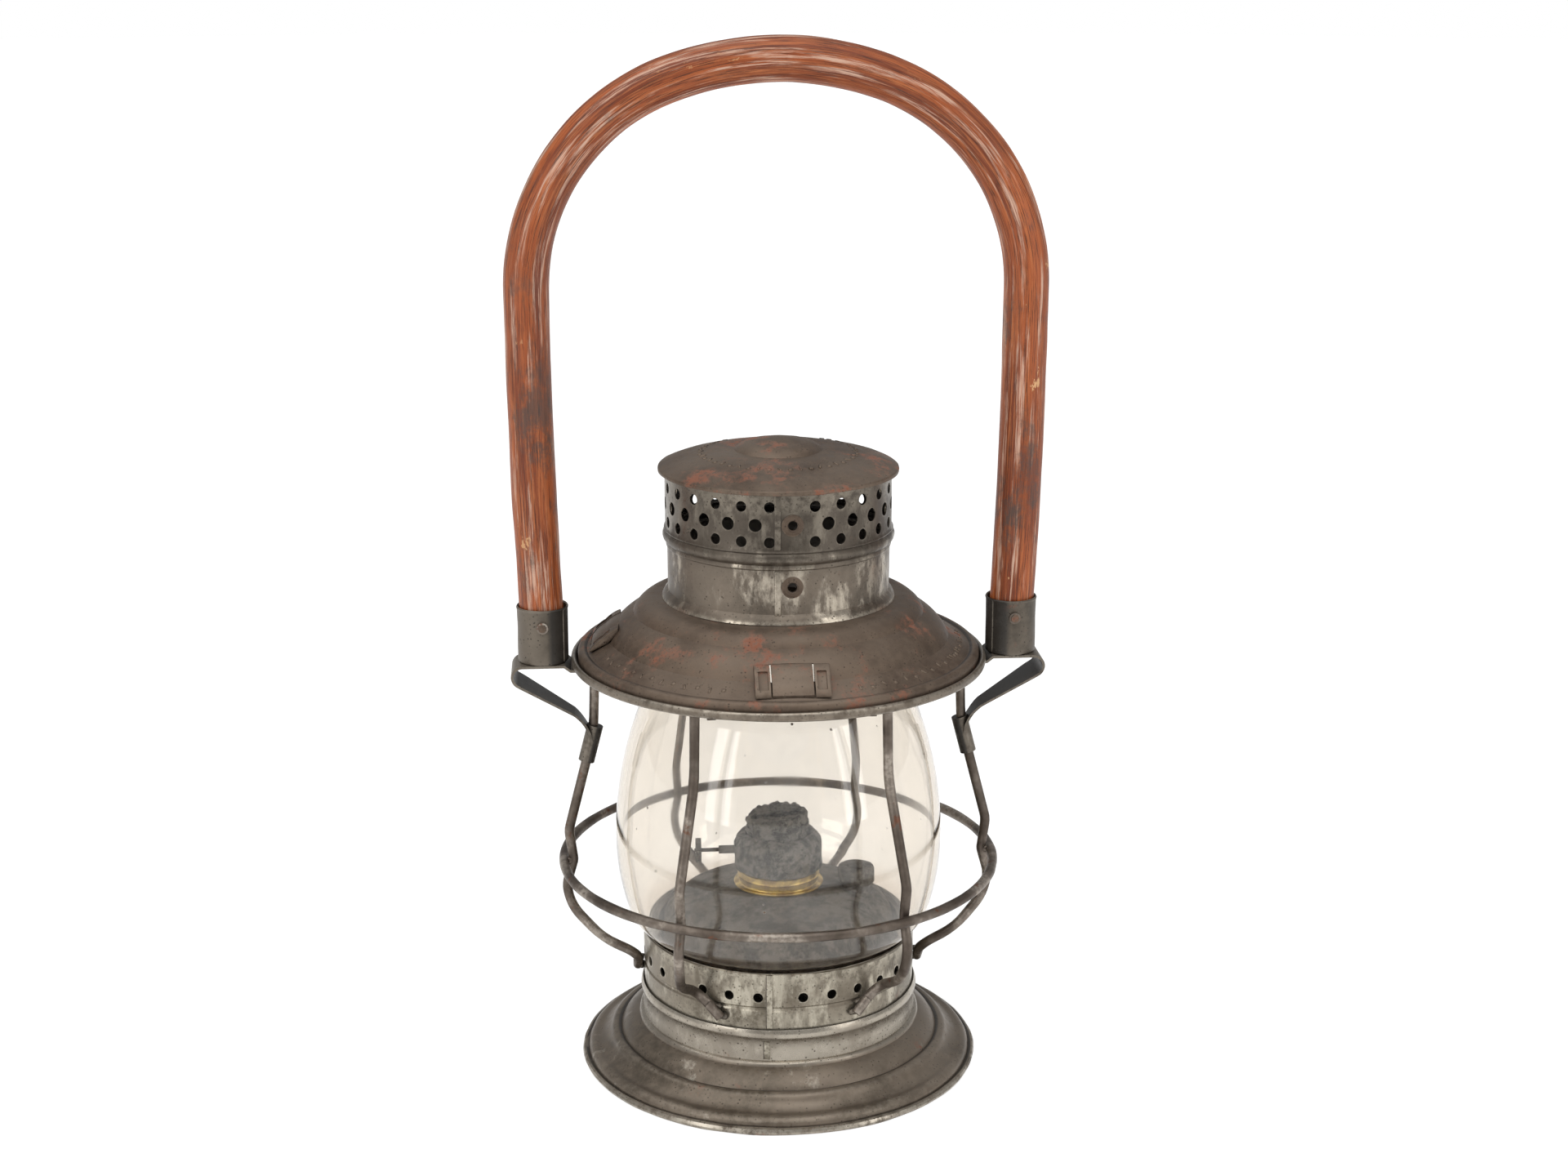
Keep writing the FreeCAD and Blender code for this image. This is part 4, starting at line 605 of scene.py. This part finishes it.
AGED = tin("aged_tin", dark=(0.085, 0.068, 0.05), tone=(0.165, 0.132, 0.1), bright=(0.4, 0.36, 0.3),
           rust=(0.19, 0.07, 0.035), bright_at=0.58, rust_at=0.62, dull=0.4, clean_band=(19, 33))
WORN = tin("worn_tin", dark=(0.08, 0.066, 0.045), tone=(0.2, 0.17, 0.13), bright=(0.46, 0.42, 0.34),
           rust=(0.15, 0.072, 0.04), bright_at=0.46, rust_at=0.64, dull=0.42, move=(1, 2, 0))
FLUE = tin("flue_tin", dark=(0.07, 0.056, 0.042), tone=(0.16, 0.13, 0.1), bright=(0.42, 0.37, 0.3),
           rust=(0.15, 0.072, 0.04), bright_at=0.5, rust_at=0.62, dull=0.42, move=(2, 2, 4),
           smoked_band=(214, 226))
RUSTY = tin("rusty_tin", dark=(0.07, 0.048, 0.034), tone=(0.125, 0.09, 0.064), bright=(0.22, 0.175, 0.135),
            rust=(0.2, 0.072, 0.038), bright_at=0.66, rust_at=0.53, dull=0.54, move=(2, 0, 3), edge_wear_and_highlight=0.25)
DARK = tin("dark_iron", dark=(0.05, 0.041, 0.032), tone=(0.13, 0.108, 0.084), bright=(0.27, 0.24, 0.2),
           rust=(0.15, 0.06, 0.035), bright_at=0.6, rust_at=0.6, dull=0.48, move=(0, 4, 1), edge_wear_and_highlight=0.4)
WIRE = wire_metal("guard_wire")
WOOD = varnished_wood("bail_wood")
GLASS = globe_glass("clear_glass")
BRASS = brass("old_brass")
SOOT = soot("sooty_tin", (0.075, 0.067, 0.056), (0.23, 0.208, 0.178))
CHAR = soot("charred_tin", (0.01, 0.01, 0.009), (0.2, 0.19, 0.175), metal=0.1, lumps=210)
WICK = cotton("wick_cotton")
FINISHES = {"aged_tin": AGED, "worn_tin": WORN, "rusty_tin": RUSTY, "dark_iron": DARK, "guard_wire": WIRE,
            "bail_wood": WOOD, "clear_glass": GLASS, "old_brass": BRASS, "sooty_tin": SOOT,
            "wick_cotton": WICK}


def dress_nodes():
    """Every carried-over CAD node takes the finish of its own slot."""
    for row in frame["record"]["subparts"]:
        piece = frame["nodes"].get(row["node"])
        if piece:
            piece.data.materials.clear()
            piece.data.materials.append(FINISHES[row["material_slot"]])


# ---------------------------------------------------------------- base

def lap_seam(name, radius, low, high, angle, body="frame", finish=WORN):
    """A lapped and soldered joint: one edge of the sheet lying over the other, with a dark strip of painted shade
    along that edge.
    """
    middle, tall = (low + high) / 2, high - low
    lap = block(name, (2.4, 0.9, tall), (0, -radius + 0.02, middle), bend=0.3, turn=angle)
    # Painted shade: a thin dark strip set along the lap's edge, where its shadow falls.
    line = block(f"{name}_line", (0.45, 0.5, tall), (0, -radius - 0.1, middle), bend=0.12, turn=angle - 1.25)
    settle(uneven(line, 0.5, 5), body, "dark_iron", DARK)
    return settle(uneven(lap, 0.3, 9), body, "worn_tin", finish)


def ring_holes(name, radius, rows):
    """Round punches set through a wall; a row is (height, diameter, count, first angle, last angle)."""
    punches = []
    for height, wide, count, first, last in rows:
        punch = started(name, bpy.ops.mesh.primitive_cylinder_add, vertices=20, radius=wide / 2 * MM,
                        depth=12 * MM)
        punch.data.transform(at((0, -radius, height)) @ TO_FRONT)
        for number in range(count):
            turn = round_axis(first + (last - first) * number / max(1, count - 1))
            punches.append(copy_of(punch, turn, f"{name}_{number}"))
        bpy.data.objects.remove(punch)
    return joined(name, punches)


def make_base():
    """Bell foot with its two ridges, the vent collar, the plate under the globe and the fount's pan."""
    bell = turned("bell_foot", [
        (NECK_R, NECK_TOP), (NECK_R, 28.3, 4.1), (NECK_R, 24), (NECK_R, 19.6), (58.5, 17.6, 1.9),
        (66, 11.2, 15), (70.6, 9.6, 3.1), (75.2, 5.9, -9), (79.9, 2.475, 3.6), (FOOT_R, 1.5, 1.6),
        (FOOT_R - 1.1, 0, 1.5), (FOOT_R - 1.9, 0), (FOOT_R - 2.9, 0.9, 1.6)], wall=SHEET, sides=192)
    settle(uneven(bell, 1.1, 34), "frame", "aged_tin", AGED, "base_bell")
    inset = COLLAR_R - 0.2
    collar = turned("collar", [
        (inset, COLLAR_FOOT), (inset, 33), (COLLAR_R, 40.4), (COLLAR_R, 42.6, 1.3), (COLLAR_R, 44),
        (COLLAR_R, 49), (COLLAR_R, COLLAR_TOP - 0.6), (COLLAR_R - 0.5, COLLAR_TOP - 0.1, 0.6),
        (COLLAR_R - 0.8, COLLAR_TOP - 0.6, 0.5)], wall=SHEET, sides=192)
    holes = ring_holes("collar_punch", COLLAR_R - 0.1, [(VENT_HEIGHT, 4.0, 29, 5.7, 347.3)])
    settle(uneven(combine(collar, holes), 0.5, 26, (0.3, 0, 0)), "frame", "worn_tin", WORN, "vent_collar")
    lap_seam("collar_seam", COLLAR_R, NECK_TOP + 0.5, COLLAR_TOP - 0.5, -8)
    lap_seam("neck_seam", NECK_R, PAN_FOOT, 28.0, -9)
    plate = turned("globe_plate_ring", [
        (50.2, GLOBE_FOOT - 0.8), (50.3, GLOBE_FOOT, 0.6), (54.6, GLOBE_FOOT), (55.4, GLOBE_FOOT - 0.6, 0.7),
        (55.4, GLOBE_FOOT - 1.4)], wall=SHEET)
    settle(uneven(plate, 0.3, 22), "frame", "worn_tin", WORN, "globe_plate")
    pan_floor = PAN_FOOT + 0.5
    pan = turned("fount_pan", [
        (inset, COLLAR_FOOT), (inset, PAN_FOOT + 0.8), (inset - 0.8, PAN_FOOT, -0.8), (42, PAN_FOOT),
        (40, pan_floor), (20, pan_floor), (0, pan_floor)], wall=0.55)
    settle(pan, "frame", "sooty_tin", SOOT, "fount_seat")


def make_solder():
    """Solder runs where the wires are tacked down and a dark blob at each lower end."""
    drops = []
    for pair in PAIRS:
        for lean, height, size in ((27.5, 37.4, (4.6, 2.2, 2.6)), (29.5, 41.6, (3.4, 2.0, 1.6))):
            for side in (-1, 1):
                drop = block("drop", size, (0, -COLLAR_R - 1, height), bend=min(size) * 0.42, segments=4,
                             turn=pair + side * lean)
                drops.append(uneven(drop, 0.9, 2.2, (pair * MM, side * MM, 0)))
    settle(joined("solder_drops", drops), "frame", "aged_tin", DARK, smooth=80)


# ---------------------------------------------------------------- globe

def make_globe():
    """Barrel-shaped glass on a straight heel, with a straight mouth and fire-polished edges."""
    heel_r, mouth_r, wall, lip = 53.2, 43.5, 2.8, 0.3
    bore, edge = heel_r - wall, 0.2
    glass = turned("globe_glass", [
        (bore + edge, GLOBE_FOOT), (heel_r - edge, GLOBE_FOOT), (heel_r, GLOBE_FOOT + edge, lip),
        (heel_r, 57), (62.3, 66, -14.5), (GLOBE_R, 95.5, -95), (58.7, 145, -150), (mouth_r, 177, -140),
        (mouth_r, GLOBE_TOP - lip), (mouth_r - lip, GLOBE_TOP, lip),
        (mouth_r - wall + lip, GLOBE_TOP), (mouth_r - wall, GLOBE_TOP - lip, lip),
        (mouth_r - wall, 176.4), (55.9, 144.2, 138), (GLOBE_R - wall, 95.5, 148), (59.6, 67.0, 93),
        (bore, 57.6, 12), (bore, GLOBE_FOOT + edge), (bore + edge, GLOBE_FOOT)], sides=160, step=1.6)
    settle(glass, "frame", "clear_glass", GLASS, "globe", smooth=60)


# ---------------------------------------------------------------- guard

def wire_corners():
    """Corners of one upright wire of the pair at the right of the front pair's middle."""
    inside_hoop, spread = HOOP_R - 2 * WIRE_R, math.radians(WIRE_TURN)
    out, beside = inside_hoop * math.cos(spread), inside_hoop * math.sin(spread)
    stops = [(out - 8, beside - 6.4, 170.0), (out - 7.2, beside - 5.9, 141), (out + 1.6, beside + 0.7, 99.3),
             (out, beside, HOOP_HEIGHT), (out + 2.9, beside + 1.2, 75.8), (out + 1.5, beside + 0.8, 66.3),
             (out - 13, beside, 54)]
    on_collar = COLLAR_R + 2.6
    for angle, height in ((38, VENT_HEIGHT), (32.5, 42.0), (27.5, 37.2)):
        stops.append((on_collar * math.cos(math.radians(angle)), on_collar * math.sin(math.radians(angle)),
                      height))
    return [(along, -outward, height) for outward, along, height in stops]


def make_guard():
    """Guard ring, its six upright wires and the welds between them."""
    first = rod("wire_front_b", wire_corners(), (60, 12, 6, 12, 17, 30, 8, 14), WIRE_R)
    uneven(first, 0.35, 12)
    mirrored = Matrix.Diagonal((-1, 1, 1, 1))
    for pair, side in zip(PAIRS, ("front", "right", "left")):
        for hand, mirror in (("b", Matrix()), ("a", mirrored)):
            wire = copy_of(first, round_axis(pair) @ mirror, f"wire_{side}_{hand}")
            settle(wire, "frame", "guard_wire", WIRE, f"guard_wire_{side}_{hand}", smooth=60)
    bpy.data.objects.remove(first)
    hoop = started("guard_hoop", bpy.ops.mesh.primitive_torus_add, major_radius=HOOP_R * MM,
                   minor_radius=WIRE_R * MM, major_segments=240, minor_segments=18)
    hoop.data.transform(at((0, 0, HOOP_HEIGHT)))
    settle(uneven(hoop, 0.5, 20), "frame", "guard_wire", WIRE, "guard_ring", smooth=60)
    welds = []
    for pair in PAIRS:
        for side in (-1, 1):
            weld = block("weld", (3.6, 4.4, 2.6), (0, -HOOP_R + 1.9, HOOP_HEIGHT), bend=1.15, segments=4,
                         turn=pair + side * WIRE_TURN)
            welds.append(uneven(weld, 0.8, 2.5, (pair * MM, 0, side * MM)))
    settle(joined("guard_welds", welds), "frame", "guard_wire", WIRE, smooth=80)


def make_top_ring():
    """Seat for the lid, with a hanging lip and a rolled hem."""
    lip_r, seat, roll = 72.0, 170.7, 1.15
    ring = turned("lid_seat", [
        (lip_r, RING_FOOT), (lip_r, seat - 0.7), (lip_r + 0.5, seat, 0.7), (RING_R - 3, seat),
        (RING_R - 2 * roll, seat + 0.7, -0.8), (RING_R - 2 * roll, RING_TOP - roll),
        (RING_R - roll, RING_TOP, roll), (RING_R, RING_TOP - roll, roll), (RING_R, RING_TOP - 2 * roll),
        (RING_R - 0.9, seat - 0.1, 1.2)], wall=SHEET, sides=192)
    settle(uneven(ring, 0.4, 40), "frame", "aged_tin", AGED, "top_ring")


# ---------------------------------------------------------------- bail

def bail_line():
    """Centre line of the bail, from the left foot over the crown to the right foot, in XZ."""
    half = rounded_line([(94, 172.8), (97.6, 320.85, -3050), (43.2, 400.15, -85), (0, 408.2, -120)],
                        step=2.0)
    left = [Vector((-point.x, 0, point.y)) for point in half]
    right = [Vector((point.x, 0, point.y)) for point in reversed(half[:-1])]
    return left + right


def make_bail():
    """A straight round stick, its own lengthwise grain noted on it, then bent round the bail's line."""
    line = bail_line()
    length = sum((there - here).length for here, there in zip(line, line[1:]))
    stick = started("bail_stick", bpy.ops.mesh.primitive_circle_add, vertices=40, radius=BAIL_R * MM)
    stick.data.transform(Matrix.Rotation(math.pi / 2, 4, "Y"))
    edit(stick)
    steps = 200
    for step in range(steps):
        bpy.ops.mesh.extrude_region_move(TRANSFORM_OT_translate={"value": (length / steps, 0, 0)})
    done(stick)
    clean(stick)
    grain = stick.data.attributes.new("grain", "FLOAT_VECTOR", "POINT")
    for number, corner in enumerate(stick.data.vertices):
        grain.data[number].vector = corner.co
    uneven(stick, 0.7, 30)
    path = as_curve(chain("bail_path", line))
    finish_with(stick, "CURVE", object=path, deform_axis="POS_X")
    bpy.data.objects.remove(path)
    settle(stick, "frame", "bail_wood", WOOD, "bail", smooth=60)


def make_ferrules():
    """Sheet cups over the feet of the bail, lapped down one side, with a turned upper edge and a nail."""
    for node, side in (("ferrule_right", 1), ("ferrule_left", -1)):
        low, high = foot_of(node), top_of(node)
        cup = turned(f"cup_{node}", [
            (0, low + 0.05), (CUP_R - 0.8, low + 0.05), (CUP_R, low + 0.8, -0.8), (CUP_R, low + 6),
            (CUP_R - 0.05, low + 14), (CUP_R, high - 1.6), (CUP_R + 0.25, high - 0.5), (CUP_R, high, 0.4),
            (CUP_R - 0.5, high - 0.4)], wall=0.55, sides=72)
        lap = block("lap", (2.6, 0.8, 21.5), (0, -CUP_R - 0.05, 183.6), bend=0.25, turn=-60 * side)
        cup = joined(f"cup_{node}", [cup, lap])
        cup.data.transform(at((BAIL_OUT * side, 0, 0)))
        settle(uneven(cup, 0.35, 9), "frame", "dark_iron", DARK, node)
        head = turned(f"nail_head_{side + 1}", [(0, 1.5), (1.5, 1.2, -2.4), (2.3, 0.3, -1.6), (2.3, -0.4)],
                      sides=24)
        head.data.transform(at((BAIL_OUT * side, -CUP_R, NAIL_HEIGHT)) @ TO_FRONT)
        settle(uneven(head, 0.3, 1.5), "frame", "dark_iron", RUSTY)


# ---------------------------------------------------------------- lid

def on_surface(sheet, radius, degrees, lift):
    """A place whose Z stands out of a sheet seen from above, at a radius and an angle."""
    turn = math.radians(degrees)
    above = Vector((math.sin(turn) * radius * MM, -math.cos(turn) * radius * MM, 0.3))
    _, place, normal, _ = sheet.ray_cast(above, Vector((0, 0, -1)))
    up = normal.normalized()
    along = up.cross(Vector((math.cos(turn), math.sin(turn), 0))).normalized()
    across = along.cross(up)
    stand = Matrix((across, along, up)).transposed().to_4x4()
    return Matrix.Translation(place + up * lift * MM) @ stand


def pressed_marks(name, sheet, spots):
    """Low pressed ornament: short bars, beads and slanted bars in turn along a ring."""
    bar = block("bar", (1.0, 3.0, 0.9), (0, 0, 0), bend=0.3, segments=1)
    bead = block("bead", (2.0, 2.0, 0.9), (0, 0, 0), bend=0.4, segments=1)
    slant = block("slant", (1.0, 2.8, 0.9), (0, 0, 0), bend=0.3, segments=1)
    slant.data.transform(Matrix.Rotation(0.5, 4, "Z"))
    turns = (bar, bead, slant, bead)
    marks = [copy_of(turns[number % 4], on_surface(sheet, radius, angle, -0.12), f"{name}_{number}")
             for number, (radius, angle) in enumerate(spots)]
    for shape in (bar, bead, slant):
        bpy.data.objects.remove(shape)
    return settle(joined(name, marks), "lid", "rusty_tin", RUSTY, smooth=60)


def make_dome():
    """Domed lid with three raised bosses, a window and two hollows in each, and ornament on the brim."""
    dome = turned("dome", [
        (42.6, FLUE_FOOT + 0.1), (45.5, FLUE_FOOT - 0.1), (50, FLUE_FOOT - 0.2), (58.3, 191.7, 9.5),
        (68.5, 181.5, 22), (69.4, 181), (73.2, 178.8), (76.4, 176.9), (77.1, 176.6, -1.6),
        (LID_R, 174.6, 2.3), (LID_R, 173), (LID_R, LID_FOOT)], wall=SHEET, sides=216)
    uneven(dome, 0.6, 32)
    brim = copy_of(dome, Matrix(), "brim_shape")
    for turn in BOSSES:
        boss = slab("boss", [(63.9, 187.7), (70.2, 183.5, 16), (75.4, 178.6, 14), (75.6, 177.4),
                             (69.2, 180.7), (68.2, 181.2), (63.8, 185.6)], 29, bend=1.2, turn=turn)
        combine(dome, boss, "UNION")
        window = slab("window", [(64.2, 188.4), (76.2, 180.2), (75.2, 176.9), (62.0, 184.6)], 16.9, turn=turn)
        combine(dome, window)
        for side in (-1, 1):
            hollow = slab("hollow", [(68.3, 187.0), (75.2, 181.0), (73.2, 179.7), (66.9, 185.0)], 3.8,
                          bend=0.4)
            hollow.data.transform(round_axis(turn) @ at((side * 11.1, 0, 0)))
            combine(dome, hollow)
    settle(dome, "lid", "rusty_tin", RUSTY, "lid_dome", smooth=30)
    spots = [(73.1 + (0.4 if step % 2 else -0.2), angle + (step - 6) * 4.2)
             for angle in (46, -46, 90, -136, 178) for step in range(13 if abs(angle) < 50 else 8)]
    pressed_marks("brim_ornament", brim, spots)
    bpy.data.objects.remove(brim)


def boss_tongue(name, shank):
    """Spring tongue in a boss; shank is what its lower end does."""
    return slab(name, [(63.6, 187.7), (69.9, 183.6, 16), (75.2, 178.5, 14), (75.1, 177.4), *shank,
                       (74.2, 178.1), (69.2, 182.6), (63.2, 186.9)], 15.7, bend=0.15)


def make_tongues():
    """The latch tongue at the front, and the ring that holds the globe down, hung from the other two."""
    front = boss_tongue("latch_tongue", [(71.4, 173.6), (71.4, 167.5), (70.5, 166.9), (70.5, 174.2)])
    settle(front, "latch", "rusty_tin", RUSTY, "lid_latch", smooth=30)
    bore, rim, low, high = 39.5, 45.9, KEEPER_TOP - 0.75, KEEPER_TOP
    parts = [turned("retainer", [(bore, low), (rim, low), (rim, high), (bore, high), (bore, low)])]
    for turn in BOSSES[1:]:
        rear = boss_tongue("rear_tongue", [(74.2, 177.2)])
        arm = block("arm", (8, 21.0, 0.7), (0, -53.4, 187.0), bend=0.2)
        hanger = joined("hanger", [rear, arm])
        parts.append(copy_of(hanger, round_axis(turn), f"hanger_{turn % 360}"))
        bpy.data.objects.remove(hanger)
    settle(joined("globe_keeper", parts), "lid", "rusty_tin", RUSTY, "globe_retainer", smooth=30)


def make_chimney():
    """Draught chimney: flared foot, plain band, bead and three rows of punched holes."""
    tube = turned("chimney_wall", [
        (reach_of("chimney"), FLUE_FOOT), (FLUE_R, 201.2, -7), (FLUE_R, 206), (FLUE_R, 212), (FLUE_R, 218.6),
        (FLUE_R + 0.5, 219.5, -0.9), (FLUE_R + 0.2, 220.6), (SCREEN_R + 0.2, 225.4, -2.9),
        (SCREEN_R + 0.6, 226.1, -0.8), (SCREEN_R, 227), (SCREEN_R, 233), (SCREEN_R, 240),
        (SCREEN_R, SCREEN_TOP)], wall=0.55, sides=216)
    eyelets = [(height, 4.8, 1, EYELET_TURN, EYELET_TURN) for height in EYELET_HEIGHTS]
    holes = ring_holes("screen_punch", SCREEN_R - 0.1, [
        (229.9, 4.45, 25, 13.85, 351.35), (243.7, 4.3, 25, 13.85, 351.35), (236.6, 5.25, 24, 20.88, 344.32),
        *eyelets])
    settle(uneven(combine(tube, holes), 0.5, 24, (0, 0.2, 0)), "lid", "worn_tin", FLUE, "chimney")
    lap_seam("screen_seam", SCREEN_R, 227, SCREEN_TOP - 0.4, -4.7, "lid", FLUE)
    lap_seam("flue_seam", FLUE_R, 200.6, 218.4, -4.7, "lid", FLUE)


def make_eyelets():
    """Two turned-over eyelets, one in the middle row of holes and one in the plain band below."""
    rings = []
    for height, face in zip(EYELET_HEIGHTS, (SCREEN_R, FLUE_R)):
        ring = turned("eyelet", [(1.9, -1.2), (1.9, 0.35), (2.3, 0.75, -0.5), (3.1, 0.6, -1.2),
                                 (4.3, 0.12, -4), (4.2, -0.3)], wall=0.35, sides=36)
        ring.data.transform(round_axis(EYELET_TURN) @ at((0, -face, height)) @ TO_FRONT)
        rings.append(ring)
    settle(uneven(joined("eyelets", rings), 0.3, 3), "lid", "rusty_tin", RUSTY, "chimney_eyelets", smooth=60)


def make_cap():
    """Shallow cap with a turned-down edge, a button and pressed ornament round it."""
    cap = turned("cap_sheet", [
        (0, 262), (5, 261.6, 30), (9.6, 260.4, 24), (17.5, 257, 11), (22, 256.9), (27, 256.4, 60),
        (35, 254.6, 60), (CAP_R - 0.8, 250.6, 40), (CAP_R, 249.8, 0.9), (CAP_R - 0.1, CAP_FOOT + 0.2),
        (CAP_R - 0.6, CAP_FOOT)], wall=SHEET, sides=180)
    uneven(cap, 0.9, 24)
    spots = [(31.0 + (0.3 if step % 2 else -0.3), -140 + step * 7.6) for step in range(38)]
    pressed_marks("cap_ornament", cap, spots)
    settle(cap, "lid", "rusty_tin", RUSTY, "chimney_cap")


# ---------------------------------------------------------------- fount and burner

def make_fount():
    """Drum-shaped tank with a sloping crown, and the brass ring that the burner screws into."""
    tank = turned("tank", [
        (0, TANK_FOOT + 0.05), (TANK_R - 1, TANK_FOOT + 0.05), (TANK_R, TANK_FOOT + 1, -1.0), (TANK_R, 32),
        (TANK_R, 44), (TANK_R, 57), (37, 68.6, -13), (26, 71.9), (SCREW_BORE, SCREW_FOOT, -80)], wall=0.5)
    settle(uneven(tank, 0.8, 18), "frame", "sooty_tin", SOOT, "fount_body")
    ring = turned("screw_collar", [
        (SCREW_BORE, SCREW_FOOT), (18.2, 74.1), (18.5, 74.6, 0.4), (18.2, 75.0, 0.4), (16.9, 75.3),
        (16.5, 75.9, -0.7), (16.5, 77.4), (16.9, 78.2, 0.9), (16.5, 79.0, 0.9), (16.5, 80.4),
        (15.9, SCREW_TOP, 0.7), (SCREW_BORE, SCREW_TOP), (SCREW_BORE, SCREW_FOOT)], sides=96)
    settle(uneven(ring, 0.15, 4), "frame", "old_brass", BRASS, "fount_screw_ring")


def make_burner():
    """Burner body, its charred head leaning to one side, and the wick."""
    plug_r, shell_r, shoulder = SCREW_BORE - 0.2, reach_of("burner_shell"), SCREW_TOP + 0.1
    shell = turned("burner_body", [
        (plug_r, SCREW_FOOT - 0.2), (plug_r, shoulder), (shell_r - 0.8, shoulder), (shell_r, 82, -0.9),
        (shell_r, 86), (shell_r, 91.6), (13.6, top_of("burner_shell"), -6)], wall=0.5, sides=96)
    settle(uneven(shell, 1.5, 4), "frame", "sooty_tin", CHAR, "burner_shell")
    head = turned("charred_head", [
        (12.0, 94.8), (12.6, 95.4, -0.8), (12.6, 99), (12.5, 102.4), (12.0, 103.9, -1.6), (10.6, 103.9),
        (6, 103.5), (0, 103.2)], wall=0.8, sides=96)
    combine(head, block("slot", (20, 6, 12), (0, 0, 104)))
    finish_with(head, "REMESH", mode="VOXEL", voxel_size=0.45 * MM)
    uneven(head, 3.4, 2.6)
    pivot = 94.6
    head.data.transform(at((0, 0, pivot)) @ Matrix.Rotation(math.radians(-6), 4, "Y") @ at((0, 0, -pivot)))
    settle(head, "frame", "sooty_tin", CHAR, "burner_head", smooth=70)
    low, high = foot_of("wick"), top_of("wick")
    strip = block("wick_strip", (15, 2.6, high - low), (0, 0, (low + high) / 2), bend=0.5)
    edit(strip)
    bpy.ops.mesh.subdivide(number_cuts=5)
    done(strip)
    settle(uneven(strip, 0.4, 3), "wick", "wick_cotton", WICK, "wick", smooth=60)


def make_filler():
    """Filler neck on the fount's shoulder and its cap."""
    beside = at((FILLER_OUT, 0, 0))
    low, high = foot_of("filler_neck"), top_of("filler_neck")
    mouth = turned("filler_mouth", [(6, low), (6, high - 0.4), (5.7, high, 0.4), (5.4, high - 0.4)],
                   wall=0.45, sides=48)
    mouth.data.transform(beside)
    settle(mouth, "frame", "sooty_tin", SOOT, "filler_neck")
    low, high = foot_of("filler_cap"), top_of("filler_cap")
    stopper = turned("stopper", [
        (0, high), (3.4, high), (4.2, high - 0.5), (6.6, high - 0.5), (7.6, 78.8, 1.2), (7.6, low + 0.4),
        (7.2, low, 0.5), (6.2, low + 0.2), (6.2, 77), (0, 77)], sides=48)
    stopper.data.transform(beside)
    settle(uneven(stopper, 0.5, 3), "filler_cap", "sooty_tin", SOOT, "filler_cap")


for make in (make_base, make_solder, make_globe, make_guard, make_top_ring, make_bail, make_ferrules,
             make_dome, make_tongues, make_chimney, make_eyelets, make_cap, make_fount, make_burner, make_filler):
    make()
dress_nodes()


# ---------------------------------------------------------------- floor, light and camera

def make_stage():
    floor = started("floor", bpy.ops.mesh.primitive_circle_add, vertices=96, radius=9, fill_type="NGON")
    f = Finish("pale_floor", Roughness=0.9, Emission_Color=(1, 1, 1, 1), Emission_Strength=0.84)
    f.set("Base Color", f.mix(f.noise(3, 4, 0.5), (0.24, 0.24, 0.24), (0.27, 0.27, 0.268)))
    floor.data.materials.append(f.material)


def lamp(name, kind, power, **settings):
    """A lamp of a kind, linked into the scene."""
    data = bpy.data.lights.new(name, kind)
    data.energy = power
    for setting, value in settings.items():
        setattr(data, setting, value)
    fitting = bpy.data.objects.new(name, data)
    bpy.context.scene.collection.objects.link(fitting)
    return fitting


def softbox(name, place, width, height, power):
    """A tall soft light turned to the middle of the object."""
    box = lamp(name, "AREA", power, shape="RECTANGLE", size=width, size_y=height)
    box.location = place
    box.rotation_euler = (Vector((0, 0, 0.2)) - Vector(place)).to_track_quat("-Z", "Y").to_euler()


def make_world():
    """White surroundings, full where they are seen and dimmer where they light the object."""
    world = bpy.data.worlds.new("studio")
    bpy.context.scene.world = world
    world.use_nodes = True
    tree = world.node_tree
    back = tree.nodes["Background"]
    rays = tree.nodes.new("ShaderNodeLightPath")
    seen = tree.nodes.new("ShaderNodeMath")
    seen.operation = "MAXIMUM"
    tree.links.new(rays.outputs["Is Camera Ray"], seen.inputs[0])
    tree.links.new(rays.outputs["Is Transmission Ray"], seen.inputs[1])
    strength = tree.nodes.new("ShaderNodeMapRange")
    strength.inputs["To Min"].default_value = 0.42
    strength.inputs["To Max"].default_value = 1.0
    tree.links.new(seen.outputs[0], strength.inputs["Value"])
    tree.links.new(strength.outputs["Result"], back.inputs["Strength"])
    back.inputs["Color"].default_value = (1, 1, 1, 1)


def make_light():
    softbox("left_softbox", (-1.3, -1.2, 0.75), 0.6, 1.5, 9)
    softbox("right_softbox", (1.25, -1.0, 0.7), 0.5, 1.5, 7)
    overhead = lamp("overhead", "SUN", 1.9, angle=math.radians(70))
    overhead.rotation_euler = (math.radians(12), math.radians(-8), 0)


def make_camera():
    """A little left of the middle and looking down on the lid."""
    data = bpy.data.cameras.new("camera")
    data.lens = 56.66
    data.sensor_width = 36
    data.shift_x = 0.0018
    camera = bpy.data.objects.new("camera", data)
    camera.location = Vector((-73.9, -953.6, 461.8)) * MM
    camera.rotation_euler = Vector((0.0757, 0.9615, -0.2642)).to_track_quat("-Z", "Y").to_euler()
    bpy.context.scene.collection.objects.link(camera)
    bpy.context.scene.camera = camera
    bpy.context.scene.view_settings.view_transform = "Standard"


make_stage()
make_world()
make_light()
make_camera()
